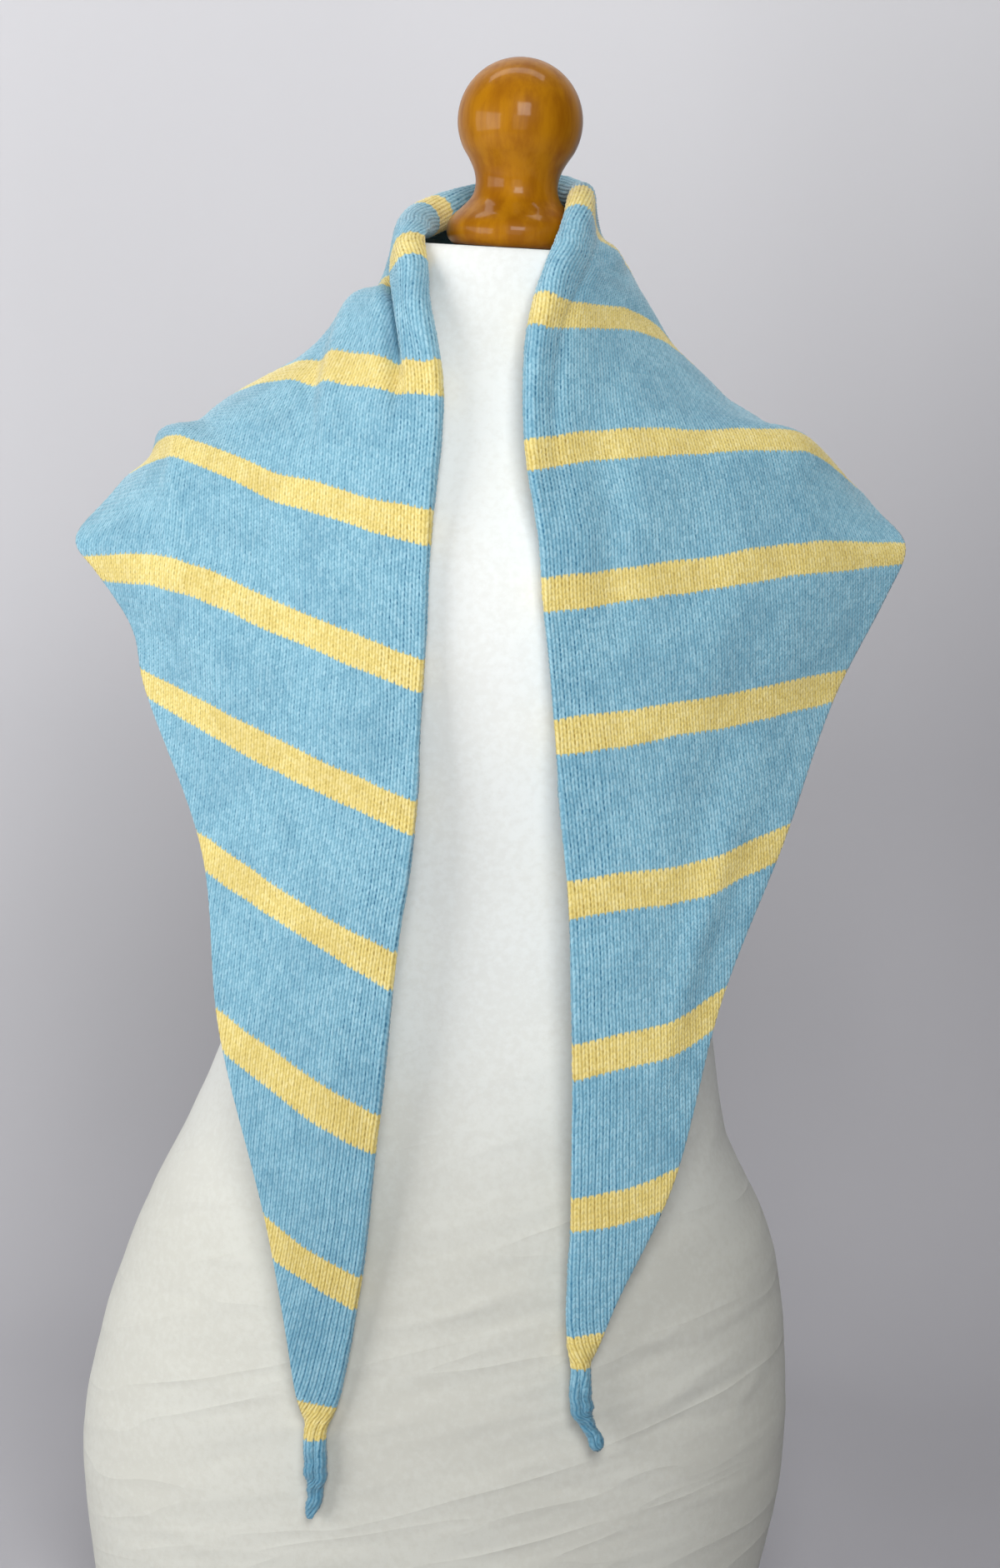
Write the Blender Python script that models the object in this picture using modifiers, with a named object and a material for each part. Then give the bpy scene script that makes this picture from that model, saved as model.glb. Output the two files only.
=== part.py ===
"""Striped knitted neckerchief resting on a limbless calico dress form with a turned wooden finial.

Run with: blender --background --python part.py
Metres, +Z up. The origin is the middle of the form's flat base, +X is the form's own left (the viewer's
right from the front), and the front faces -Y. Sizes in the tables are millimetres, scaled by MM.
"""
import math
from collections import namedtuple

import bmesh
import bpy
import numpy as np
from mathutils import Vector
from mathutils.bvhtree import BVHTree

MM = 0.001

# ---- driving sizes, millimetres ----
NECK_TOP = 849.0            # height of the form's flat neck top
LOWER_RINGS = 20            # rings of the torso's loft below the shoulders
UPPER_RINGS = 18            # rings from the shoulders to the neck
SHOULDER_TURN = 715.0       # height above which the rings lie closer
FORM_SIDES = 44             # points in each ring
FORM_SQUARENESS = 2.25      # 2 is an ellipse, more is squarer
SEAM_GAP = 0.3              # clearance between neighbouring pieces
LONG_EDGE = 1740.0          # the kerchief's long knitted edge, tip to tip
WALL = 2.0                  # thickness of the knitted cloth
REST_GAP = 2.8              # from the form's surface to the middle of the cloth wall
CLEARING_PASSES = 4         # times that the cloth is moved off the form
POINT_START = 62.0          # where each rolled point takes over from its flat front
FINIAL_STEPS = 28           # steps of the turning round its axis
COURSE_SAMPLES = 60         # samples that measure one course's length

# ---- the torso: horizontal sections of a general figure, base to neck ----
Section = namedtuple("Section", "height half_width front back shift")
TORSO = [
    Section(0, 192, 111, 114, -9),
    Section(60, 202, 114, 121, -9),
    Section(130, 211, 116, 127, -8),
    Section(210, 204, 115, 128, -4),
    Section(280, 186, 109, 121, 0),
    Section(340, 158, 101, 108, -2),
    Section(385, 145, 95, 95, 1),
    Section(435, 139, 91, 86, 0),
    Section(485, 138, 93, 86, 0),
    Section(540, 143, 100, 93, 0),
    Section(595, 151, 109, 101, 0),
    Section(645, 159, 114, 106, 0),
    Section(690, 165, 110, 107, 0),
    Section(722, 169, 98, 103, 0),
    Section(742, 167, 89, 98, 0),
    Section(756, 148, 82, 93, 0),
    Section(770, 119, 76, 86, 0),
    Section(790, 91, 67, 76, 0),
    Section(812, 69, 60, 66, 0),
    Section(830, 60, 58, 60, 0),
    Section(NECK_TOP - 3, 58, 57, 58, 0),
    Section(NECK_TOP, 55, 54, 55, 0),
]

# ---- the finial: outline from the top of the ball down to its foot, heights above the neck top ----
Turning = namedtuple("Turning", "height radius")
FINIAL_BALL_RADIUS = 35.2
FINIAL_BALL_HEIGHT = 70.0   # middle of the ball
FINIAL_BALL_ANGLES = [8, 20, 34, 48, 62, 76, 90, 104, 118]  # degrees down from the top
FINIAL_STEM = [
    Turning(47.5, 27.3), Turning(43.0, 25.0), Turning(38.5, 23.6), Turning(34.5, 23.2), Turning(30.5, 23.7),
    Turning(27.0, 25.1), Turning(23.5, 27.9), Turning(20.5, 30.9), Turning(17.5, 34.0), Turning(14.5, 36.5),
    Turning(11.0, 38.0), Turning(8.0, 38.2), Turning(4.5, 37.4), Turning(1.8, 35.6), Turning(SEAM_GAP, 33.2),
]

# ---- the kerchief: courses of knitting, each from the rolled long edge out to the selvedge ----
# along: distance from the right point along the long edge; edge: where the cloth leaves the edge roll;
# gutter: beside the roll; fall: where it falls from the neck; inner and outer: on the way; hem: selvedge.
Course = namedtuple("Course", "along edge gutter fall inner outer hem")


def flat_course(along, edge, hem, belly):
    """A course of a hanging front: straight from edge to hem, bowed forward by belly millimetres."""
    start, end = np.array(edge, float), np.array(hem, float)
    points = []
    for share in (0.0, 0.13, 0.25, 0.37, 0.69, 1.0):
        bow = np.array([0.0, -4.0 * belly * share * (1.0 - share), 0.0])
        points.append(tuple(start + (end - start) * share + bow))
    return Course(along, *points)


def from_left_point(distance):
    """Distance from the right point of a place that lies this far from the left point."""
    return LONG_EDGE - distance


COURSES = [
    flat_course(40, (-69, -121, 172), (-80, -121, 173), 0),
    flat_course(60, (-66, -122, 191), (-83, -122, 193), 0),
    flat_course(145, (-55, -124, 271), (-105, -121, 302), 2),
    flat_course(230, (-49, -125, 365), (-138, -108, 413), 5),
    flat_course(315, (-44, -126, 456), (-153, -90, 510), 8),
    flat_course(400, (-37, -127, 543), (-193, -58, 598), 12),
    Course(445, (-37, -127, 585), (-60, -123, 593), (-83, -118, 600),
           (-104, -110, 607), (-163, -83, 625), (-202, -49, 629)),
    Course(485, (-37, -127, 622), (-63, -123, 630), (-88, -116, 638),
           (-112, -106, 645), (-182, -72, 664), (-226, -38, 659)),
    Course(508, (-37, -126, 643), (-64, -122, 651), (-89, -114, 659),
           (-114, -103, 666), (-184, -64, 683), (-238, -34, 673.3)),
    Course(535, (-38, -125, 668), (-65, -119, 675), (-90, -111, 682),
           (-114, -100, 688), (-182, -56, 706), (-225, -2, 693)),
    Course(570, (-39, -122, 701), (-66, -113, 706), (-90, -103, 711),
           (-114, -91, 715), (-178, -44, 729), (-212, 26, 709.5)),
    Course(655, (-41, -90, 781), (-64, -79, 783), (-94, -57, 781),
           (-120, -30, 775), (-170, 46, 736), (-178, 88, 660)),
    Course(700, (-57, -66, 818), (-69, -48, 820), (-92, -8, 814),
           (-106, 16, 788), (-139, 70, 735), (-154, 104, 626)),
    Course(740, (-64, -40, 842), (-70, -20, 828), (-84, 16, 812),
           (-100, 56, 775), (-113, 102, 682), (-125, 116, 592)),
    Course(825, (-54, 34, 869), (-58, 46, 846), (-64, 64, 816),
           (-66, 88, 772), (-58, 116, 655), (-50, 120, 534)),
    Course(870, (-17, 71, 880), (-19, 77, 855), (-21, 84, 818),
           (-22, 99, 765), (-20, 117, 640), (-16, 121, 500)),
    Course(from_left_point(830), (22, 59, 886), (25, 68, 858), (27, 82, 820),
           (29, 98, 768), (33, 117, 645), (38, 121, 521)),
    Course(from_left_point(785), (42, 16, 882), (47, 29, 861), (60, 52, 829),
           (66, 86, 776), (73, 114, 668), (78, 120, 560)),
    Course(from_left_point(745), (43, -24, 877), (45, -13, 863), (64, 16, 843),
           (80, 58, 797), (97, 108, 692), (108, 116, 602)),
    Course(from_left_point(722), (41, -45, 863), (47, -38, 852), (69, 4, 834),
           (88, 44, 796), (111, 97, 704), (124, 111, 620)),
    Course(from_left_point(700), (36, -63, 847), (43, -56, 841), (70, -18, 829),
           (95, 22, 795), (124, 82, 716), (138, 104, 638)),
    Course(from_left_point(660), (24, -87, 816), (38, -74, 815), (66, -44, 812),
           (94, -12, 798), (138, 46, 748), (162, 90, 669)),
    Course(from_left_point(617), (18, -106, 780), (41, -93, 782), (70, -74, 782),
           (100, -50, 776), (152, 0, 752), (190, 54, 694)),
    Course(from_left_point(575), (19, -121, 742), (45, -109, 747), (74, -98, 750),
           (103, -84, 752), (162, -46, 757), (205, 11, 721)),
    Course(from_left_point(540), (23, -125, 715), (51, -117, 720), (78, -108, 724),
           (104, -96, 727), (169, -58, 734), (216, -8, 712.5)),
    Course(from_left_point(520), (26, -126, 698), (53, -120, 703), (79, -111, 707),
           (104, -100, 710), (172, -64, 716), (224, -22, 706)),
    Course(from_left_point(509), (27, -127, 688), (54, -121, 693), (79, -112, 697),
           (104, -102, 700), (171, -69, 707), (228, -28, 702)),
    Course(from_left_point(497), (28, -127, 676), (54, -121, 681), (79, -113, 685),
           (104, -104, 688), (172, -74, 697), (230, -36, 697)),
    Course(from_left_point(455), (33, -127, 638), (56, -122, 642), (79, -116, 646),
           (102, -109, 649), (162, -84, 659), (219, -46, 667)),
    flat_course(from_left_point(405), (39, -127, 592), (196.5, -58, 619), 12),
    flat_course(from_left_point(320), (52, -126, 502), (169, -90, 535), 8),
    flat_course(from_left_point(235), (61, -125, 412), (139, -108, 445), 5),
    flat_course(from_left_point(150), (66, -124, 324), (119, -120, 343), 2),
    flat_course(from_left_point(65), (70, -122, 240), (84, -122, 242), 0),
    flat_course(from_left_point(40), (74, -121, 216), (84, -121, 217), 0),
]

# ---- the curl of the long edge: it turns under along the fronts and rolls into a tube round the neck ----
Curl = namedtuple("Curl", "along radius sweep tail")
EDGE_CURL = [
    Curl(60, 2.8, 180, 8),
    Curl(560, 3.0, 180, 14),
    Curl(655, 5.0, 205, 6),
    Curl(740, 9.0, 275, 2),
    Curl(from_left_point(785), 7.2, 275, 2),
    Curl(from_left_point(745), 7.0, 275, 2),
    Curl(from_left_point(700), 8.5, 265, 2),
    Curl(from_left_point(660), 7.0, 225, 4),
    Curl(from_left_point(575), 3.4, 180, 12),
    Curl(from_left_point(65), 2.8, 180, 8),
]
CURL_STEPS = 7              # facets round the curl
ACROSS_STEPS = 11           # facets from the curl to the selvedge

# ---- the largest soft folds: a ridge (height above zero) or trough between two places on the cloth ----
# across is the share of the way from the edge roll (0) to the selvedge (1).
Fold = namedtuple("Fold", "along_a across_a along_b across_b width height")
FOLDS = [
    Fold(590, 0.25, 705, 0.20, 9, 3.5),
    Fold(590, 0.31, 700, 0.26, 9, -4.5),
    Fold(680, 0.55, 690, 1.0, 26, -7.0),
    Fold(735, 0.60, 745, 1.0, 24, 7.0),
    Fold(792, 0.55, 800, 1.0, 24, -7.0),
    Fold(905, 0.60, 900, 1.0, 26, -6.0),
    Fold(960, 0.55, 955, 1.0, 24, 6.0),
    Fold(1018, 0.55, 1015, 1.0, 26, -7.0),
]

# ---- the stretches that show, each a piece of its own: name, start and end along the long edge, rows ----
Stretch = namedtuple("Stretch", "name start end rows")
STRETCHES = [
    Stretch("right_front", POINT_START, 540, 17),
    Stretch("right_shoulder", 540, 760, 11),
    Stretch("nape_and_back", 760, from_left_point(755), 12),
    Stretch("left_shoulder", from_left_point(755), from_left_point(540), 11),
    Stretch("left_front", from_left_point(540), from_left_point(POINT_START), 17),
]

# ---- the rolled points below the fronts: middle line and radius, top to bottom ----
RollPoint = namedtuple("RollPoint", "x y z radius")
RIGHT_POINT = [
    RollPoint(-74.8, -119.2, 192.4, 6.6), RollPoint(-73.6, -119.5, 182, 6.9), RollPoint(-72.1, -119.5, 170, 6.8),
    RollPoint(-71.3, -119.4, 158, 6.2), RollPoint(-71, -119, 149, 5.2), RollPoint(-71.3, -119, 142.5, 4.6),
    RollPoint(-73, -119, 136.5, 3.2), RollPoint(-74, -119, 131, 2.9),
]
LEFT_POINT = [
    RollPoint(74, -120, 236.7, 6.5), RollPoint(74.1, -120, 228, 6.5), RollPoint(74.6, -120, 217, 6.6),
    RollPoint(75.9, -120, 208.5, 6.3), RollPoint(79.2, -120, 200.5, 4.9), RollPoint(83.7, -120, 192.5, 3.5),
    RollPoint(86.3, -120, 187, 3.3), RollPoint(87, -120, 183.3, 3.0),
]

# ---- finishes: colour, roughness ----
CALICO = ((0.86, 0.84, 0.78), 0.9)
VARNISHED_WOOD = ((0.46, 0.19, 0.04), 0.28)
KNITTED_WOOL = ((0.25, 0.50, 0.66), 0.95)


def clear_scene():
    for item in list(bpy.data.objects):
        bpy.data.objects.remove(item, do_unlink=True)


def finish_material(name, finish):
    """A plain Principled material of one colour and roughness."""
    colour, roughness = finish
    material = bpy.data.materials.new(name)
    material.use_nodes = True
    shader = material.node_tree.nodes["Principled BSDF"]
    shader.inputs["Base Color"].default_value = (*colour, 1.0)
    shader.inputs["Roughness"].default_value = roughness
    return material


def add_object(name, mesh, material, collection):
    item = bpy.data.objects.new(name, mesh)
    mesh.materials.append(material)
    collection.objects.link(item)
    return item


def spline(knots, rows, places):
    """Smooth curve through rows at knots (non-uniform Catmull-Rom), read at places."""
    knots = np.asarray(knots, float)
    rows = np.asarray(rows, float)
    steps = np.diff(knots)
    slopes = np.diff(rows, axis=0) / steps[:, None]
    tangents = np.empty_like(rows)
    tangents[0], tangents[-1] = slopes[0], slopes[-1]
    before, after = steps[:-1, None], steps[1:, None]
    tangents[1:-1] = (slopes[:-1] * after + slopes[1:] * before) / (before + after)
    places = np.clip(np.asarray(places, float), knots[0], knots[-1])
    index = np.clip(np.searchsorted(knots, places, side="right") - 1, 0, len(steps) - 1)
    step = steps[index][:, None]
    t = (places - knots[index])[:, None] / step
    return (
        rows[index] * (2 * t**3 - 3 * t**2 + 1)
        + tangents[index] * step * (t**3 - 2 * t**2 + t)
        + rows[index + 1] * (3 * t**2 - 2 * t**3)
        + tangents[index + 1] * step * (t**3 - t**2)
    )


# ------------------------------------------------------------------ dress form
def torso_ring(section):
    """One horizontal ring of the torso, front and back halves of unlike depth."""
    ring = []
    power = 2.0 / FORM_SQUARENESS
    for index in range(FORM_SIDES):
        angle = 2.0 * math.pi * index / FORM_SIDES
        cosine, sine = math.cos(angle), math.sin(angle)
        depth = section.back if sine > 0 else section.front
        x = section.shift + section.half_width * math.copysign(abs(cosine) ** power, cosine)
        y = depth * math.copysign(abs(sine) ** power, sine)
        ring.append(Vector((x, y, section.height)) * MM)
    return ring


def ring_heights():
    """Heights of the rings: evenly spread below the shoulders, closer where the shoulders turn in."""
    lower = np.linspace(0.0, SHOULDER_TURN, LOWER_RINGS, endpoint=False)
    upper = np.linspace(SHOULDER_TURN, TORSO[-2].height, UPPER_RINGS)
    return list(lower) + list(upper) + [NECK_TOP]


def make_torso(collection, material):
    """The torso: one loft of faces between unlike sections, flat at the base and at the neck top."""
    knots = [section.height for section in TORSO]
    rows = [section[1:] for section in TORSO]
    heights = ring_heights()
    sections = [Section(z, *row) for z, row in zip(heights, spline(knots, rows, heights))]
    bm = bmesh.new()
    rings = [[bm.verts.new(point) for point in torso_ring(section)] for section in sections]
    for lower, upper in zip(rings, rings[1:]):
        for index in range(FORM_SIDES):
            after = (index + 1) % FORM_SIDES
            bm.faces.new((lower[index], lower[after], upper[after], upper[index]))
    bm.faces.new(list(reversed(rings[0])))
    bm.faces.new(rings[-1])
    for face in bm.faces:
        face.smooth = len(face.verts) == 4
    mesh = bpy.data.meshes.new("form_torso")
    bm.to_mesh(mesh)
    bm.free()
    return add_object("form_torso", mesh, material, collection)


def make_finial(collection, material):
    """The turned finial: its outline runs down the outer side and is screwed round the neck's axis."""
    outline = [(0.0, FINIAL_BALL_HEIGHT + FINIAL_BALL_RADIUS)]
    for angle in FINIAL_BALL_ANGLES:
        turn = math.radians(angle)
        rise = FINIAL_BALL_RADIUS * math.cos(turn)
        outline.append((FINIAL_BALL_RADIUS * math.sin(turn), FINIAL_BALL_HEIGHT + rise))
    outline += [(turning.radius, turning.height) for turning in FINIAL_STEM]
    outline.append((0.0, SEAM_GAP))
    mesh = bpy.data.meshes.new("finial")
    points = [(radius * MM, 0.0, (NECK_TOP + height) * MM) for radius, height in outline]
    mesh.from_pydata(points, [(i, i + 1) for i in range(len(points) - 1)], [])
    item = add_object("finial", mesh, material, collection)
    turning = item.modifiers.new("turning", "SCREW")
    turning.axis = "Z"
    turning.angle = 2.0 * math.pi
    turning.steps = FINIAL_STEPS
    turning.render_steps = FINIAL_STEPS
    turning.use_merge_vertices = True
    turning.merge_threshold = 0.0001
    turning.use_smooth_shade = True
    return item


def form_surface(torso, finial):
    """The surface that the cloth rests on: the torso and the finial together."""
    bm = bmesh.new()
    bm.from_mesh(torso.data)
    bm.from_object(finial, bpy.context.evaluated_depsgraph_get())
    form = BVHTree.FromBMesh(bm)
    bm.free()
    return form


# ------------------------------------------------------------------ kerchief
def pushed_out(point, form):
    """How far, and which way, a point has to move to stand REST_GAP off the form."""
    place, normal, _, _ = form.find_nearest(Vector(point) * MM)
    away = (Vector(point) * MM - place).dot(normal) / MM
    return np.array(normal) * max(0.0, REST_GAP - away)


def clear_of_form(grid, form):
    """Move a grid of points off the form, so that the middles of its edges and diagonals clear it too."""
    rows, columns = grid.shape[:2]
    for _ in range(CLEARING_PASSES):
        moves = np.zeros_like(grid)
        for row in range(rows):
            for column in range(columns):
                below, beside = min(row + 1, rows - 1), min(column + 1, columns - 1)
                here, corner = (row, column), (below, beside)
                under, next_to = (below, column), (row, beside)
                spans = ((here, here), (here, under), (here, next_to), (here, corner), (under, next_to))
                for one, other in spans:
                    push = pushed_out((grid[one] + grid[other]) / 2.0, form)
                    for point in (one, other):
                        if np.linalg.norm(push) > np.linalg.norm(moves[point]):
                            moves[point] = push
        grid = grid + moves
    return grid


def fold_height(along, across, reach):
    """Sum of the soft ridges and troughs at a place on the cloth."""
    total = 0.0
    for fold in FOLDS:
        start = np.array([fold.along_a, fold.across_a * reach])
        run = np.array([fold.along_b - fold.along_a, (fold.across_b - fold.across_a) * reach])
        here = np.array([along, across * reach]) - start
        share = float(np.clip(here.dot(run) / run.dot(run), 0.0, 1.0))
        distance = np.linalg.norm(here - share * run)
        rise = 1.0 if fold.across_b == 1.0 else 0.0
        fade = share if rise else math.sin(math.pi * share)
        total += fold.height * fade * math.exp(-((distance / fold.width) ** 2))
    return total


def course_points(controls):
    """Points spread evenly by length along one course's smooth curve through its control points."""
    chords = np.concatenate([[0.0], np.cumsum(np.linalg.norm(np.diff(controls, axis=0), axis=1))])
    fine = spline(chords, controls, np.linspace(0.0, chords[-1], COURSE_SAMPLES))
    lengths = np.concatenate([[0.0], np.cumsum(np.linalg.norm(np.diff(fine, axis=0), axis=1))])
    places = np.linspace(0.0, lengths[-1], ACROSS_STEPS + 1)
    points = np.stack([np.interp(places, lengths, fine[:, axis]) for axis in range(3)], axis=-1)
    return points, lengths[-1]


def surface_normals(grid):
    """Unit normals of a grid of points [along][across], facing away from the form."""
    down = np.gradient(grid, axis=0)
    out = np.gradient(grid, axis=1)
    normals = np.cross(down, out)
    return normals / np.linalg.norm(normals, axis=2, keepdims=True)


def panel_grid(alongs):
    """The cloth's middle surface between the edge roll and the selvedge, [along][across]."""
    knots = [course.along for course in COURSES]
    rows = [np.ravel(course[1:]) for course in COURSES]
    grid, reaches = [], []
    for controls in spline(knots, rows, alongs):
        points, reach = course_points(controls.reshape(-1, 3))
        grid.append(points)
        reaches.append(reach)
    grid = np.array(grid)
    normals = surface_normals(grid)
    for row, along in enumerate(alongs):
        for column in range(ACROSS_STEPS + 1):
            across = column / ACROSS_STEPS
            grid[row, column] += normals[row, column] * fold_height(along, across, reaches[row])
    return grid


def edge_curl(alongs, grid):
    """Rows of the curled long edge, from its hidden end round to where the cloth leaves it."""
    knots = [curl.along for curl in EDGE_CURL]
    rows = spline(knots, [curl[1:] for curl in EDGE_CURL], alongs)
    down = np.gradient(grid[:, 0], axis=0)
    curls = []
    for index, (radius, sweep, tail) in enumerate(rows):
        out = grid[index, 1] - grid[index, 0]
        normal = np.cross(down[index], out)
        normal /= np.linalg.norm(normal)
        out = np.cross(normal, down[index])
        out /= np.linalg.norm(out)
        centre = grid[index, 0] - normal * radius
        turn = math.radians(sweep)
        end = centre + radius * (math.cos(turn) * normal - math.sin(turn) * out)
        onward = -math.sin(turn) * normal - math.cos(turn) * out
        points = [end + onward * tail]
        for step in range(CURL_STEPS, 0, -1):
            angle = turn * step / CURL_STEPS
            points.append(centre + radius * (math.cos(angle) * normal - math.sin(angle) * out))
        curls.append(points)
    return np.array(curls)


def drape(form):
    """The whole kerchief but its points: places along it, its middle surface and its normals."""
    alongs = [STRETCHES[0].start]
    for stretch in STRETCHES:
        alongs += list(np.linspace(stretch.start, stretch.end, stretch.rows + 1))[1:]
    alongs = np.array(alongs)
    panel = panel_grid(alongs)
    sheet = clear_of_form(np.concatenate([edge_curl(alongs, panel), panel], axis=1), form)
    return alongs, sheet, surface_normals(sheet)


def make_wall(name, sheet, normals, collection, material):
    """A wall of even thickness about a grid of points."""
    rows, columns = sheet.shape[:2]
    bm = bmesh.new()
    outside, inside = sheet + normals * WALL / 2, sheet - normals * WALL / 2
    front = [[bm.verts.new(Vector(point) * MM) for point in row] for row in outside]
    back = [[bm.verts.new(Vector(point) * MM) for point in row] for row in inside]
    for row in range(rows - 1):
        for column in range(columns - 1):
            for layer, flip in ((front, False), (back, True)):
                corners = (
                    layer[row][column], layer[row + 1][column],
                    layer[row + 1][column + 1], layer[row][column + 1],
                )
                bm.faces.new(tuple(reversed(corners)) if flip else corners)
    border = [(0, column) for column in range(columns)]
    border += [(row, columns - 1) for row in range(1, rows)]
    border += [(rows - 1, column) for column in range(columns - 2, -1, -1)]
    border += [(row, 0) for row in range(rows - 2, 0, -1)]
    for (r1, c1), (r2, c2) in zip(border, border[1:] + border[:1]):
        quad = (front[r1][c1], front[r2][c2], back[r2][c2], back[r1][c1])
        # the same diagonal on both sides of a seam
        halves = ((0, 1, 2), (0, 2, 3)) if (r1, c1) < (r2, c2) else ((0, 1, 3), (1, 2, 3))
        for half in halves:
            bm.faces.new([quad[corner] for corner in half])
    for face in bm.faces:
        face.smooth = True
    mesh = bpy.data.meshes.new(name)
    bm.to_mesh(mesh)
    bm.free()
    return add_object(name, mesh, material, collection)


def seam_shift(row, normals):
    """Half the seam gap, square to the seam and within the cloth, onward along the kerchief."""
    onward = np.cross(np.gradient(row, axis=0), normals)
    return onward / np.linalg.norm(onward, axis=1, keepdims=True) * SEAM_GAP / 2


def make_stretches(form, collection, material):
    """The stretches: the draped cloth parted at its seams, each end drawn in by half the seam gap."""
    alongs, sheet, normals = drape(form)
    for stretch in STRETCHES:
        first = int(np.argmin(np.abs(alongs - stretch.start)))
        last = int(np.argmin(np.abs(alongs - stretch.end)))
        piece = sheet[first:last + 1].copy()
        piece[0] += seam_shift(sheet[first], normals[first])
        piece[-1] -= seam_shift(sheet[last], normals[last])
        make_wall(stretch.name, piece, normals[first:last + 1], collection, material)


def make_point(name, path, collection, material):
    """A rolled point: a tapering round curve with filled ends."""
    curve = bpy.data.curves.new(name, "CURVE")
    curve.dimensions = "3D"
    curve.bevel_depth = MM
    curve.bevel_resolution = 2
    curve.use_fill_caps = True
    line = curve.splines.new("POLY")
    line.points.add(len(path) - 1)
    for point, place in zip(line.points, path):
        point.co = (place.x * MM, place.y * MM, place.z * MM, 1.0)
        point.radius = place.radius
    curve.materials.append(material)
    item = bpy.data.objects.new(name, curve)
    collection.objects.link(item)
    return item


def main():
    clear_scene()
    collection = bpy.data.collections.new("neckerchief_on_dress_form")
    bpy.context.scene.collection.children.link(collection)
    calico = finish_material("calico", CALICO)
    wood = finish_material("varnished_wood", VARNISHED_WOOD)
    wool = finish_material("knitted_wool", KNITTED_WOOL)
    form = form_surface(make_torso(collection, calico), make_finial(collection, wood))
    make_stretches(form, collection, wool)
    make_point("right_point", RIGHT_POINT, collection, wool)
    make_point("left_point", LEFT_POINT, collection, wool)


main()
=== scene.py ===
"""Striped knitted neckerchief draped over a calico dress form with a turned wooden finial.

Laid out as an add-on and run as a script. Metres and +Z up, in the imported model's frame: +X is the
form's own left and the front faces -Y. The cloth's and the form's tables are millimetres, scaled by MM.
"""
import math
from collections import namedtuple

import bmesh
import bpy
import numpy as np
from bpy.props import FloatProperty, FloatVectorProperty, IntProperty, PointerProperty
from mathutils import Matrix, Vector
from mathutils.bvhtree import BVHTree


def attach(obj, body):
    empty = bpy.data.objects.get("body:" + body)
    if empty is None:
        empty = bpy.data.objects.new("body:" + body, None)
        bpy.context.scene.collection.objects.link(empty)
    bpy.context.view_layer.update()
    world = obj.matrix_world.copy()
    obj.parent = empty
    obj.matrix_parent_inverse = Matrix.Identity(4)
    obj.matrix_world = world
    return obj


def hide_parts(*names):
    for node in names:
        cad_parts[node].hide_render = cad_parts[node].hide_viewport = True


bl_info = {
    "name": "Knitted neckerchief on a dress form",
    "version": (1, 0, 0),
    "blender": (4, 5, 0),
    "location": "3D View > Sidebar > Neckerchief",
    "description": "Builds a striped knitted neckerchief, its calico dress form and wooden finial",
    "category": "Object",
}

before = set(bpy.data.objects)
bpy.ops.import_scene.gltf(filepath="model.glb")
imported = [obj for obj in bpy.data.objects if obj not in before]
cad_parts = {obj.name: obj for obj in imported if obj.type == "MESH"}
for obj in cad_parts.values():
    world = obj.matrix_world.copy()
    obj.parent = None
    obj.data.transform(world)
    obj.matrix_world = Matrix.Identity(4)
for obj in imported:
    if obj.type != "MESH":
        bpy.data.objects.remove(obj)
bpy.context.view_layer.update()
MM = 0.001
TINY = 1e-9                 # stands in for a length of zero in a division

# ---------------------------------------------------------------- sizes, mm: the CAD model's where it has them
NECK_TOP = 849.0            # height of the form's flat neck top
FORM_SQUARENESS = 2.25      # 2 is an ellipse, more is squarer
LONG_EDGE = 1740.0          # the kerchief's long knitted edge, tip to tip
REST_GAP = 2.8              # from the form's surface to the middle of the cloth
POINT_START = 62.0          # where each rolled point takes over from its flat front

Section = namedtuple("Section", "height half_width front back shift")
TORSO = [Section(*row) for row in (
    (0, 192, 111, 114, -9),
    (60, 202, 114, 121, -9),
    (130, 211, 116, 127, -8),
    (210, 204, 115, 128, -4),
    (280, 186, 109, 121, 0),
    (340, 158, 101, 108, -2),
    (385, 145, 95, 95, 1),
    (435, 139, 91, 86, 0),
    (485, 138, 93, 86, 0),
    (540, 143, 100, 93, 0),
    (595, 151, 109, 101, 0),
    (645, 159, 114, 106, 0),
    (690, 165, 110, 107, 0),
    (722, 169, 98, 103, 0),
    (742, 167, 89, 98, 0),
    (756, 148, 82, 93, 0),
    (770, 119, 76, 86, 0),
    (790, 91, 67, 76, 0),
    (812, 69, 60, 66, 0),
    (830, 60, 58, 60, 0),
    (NECK_TOP - 3, 58, 57, 58, 0),
    (NECK_TOP, 55, 54, 55, 0),
)]

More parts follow.
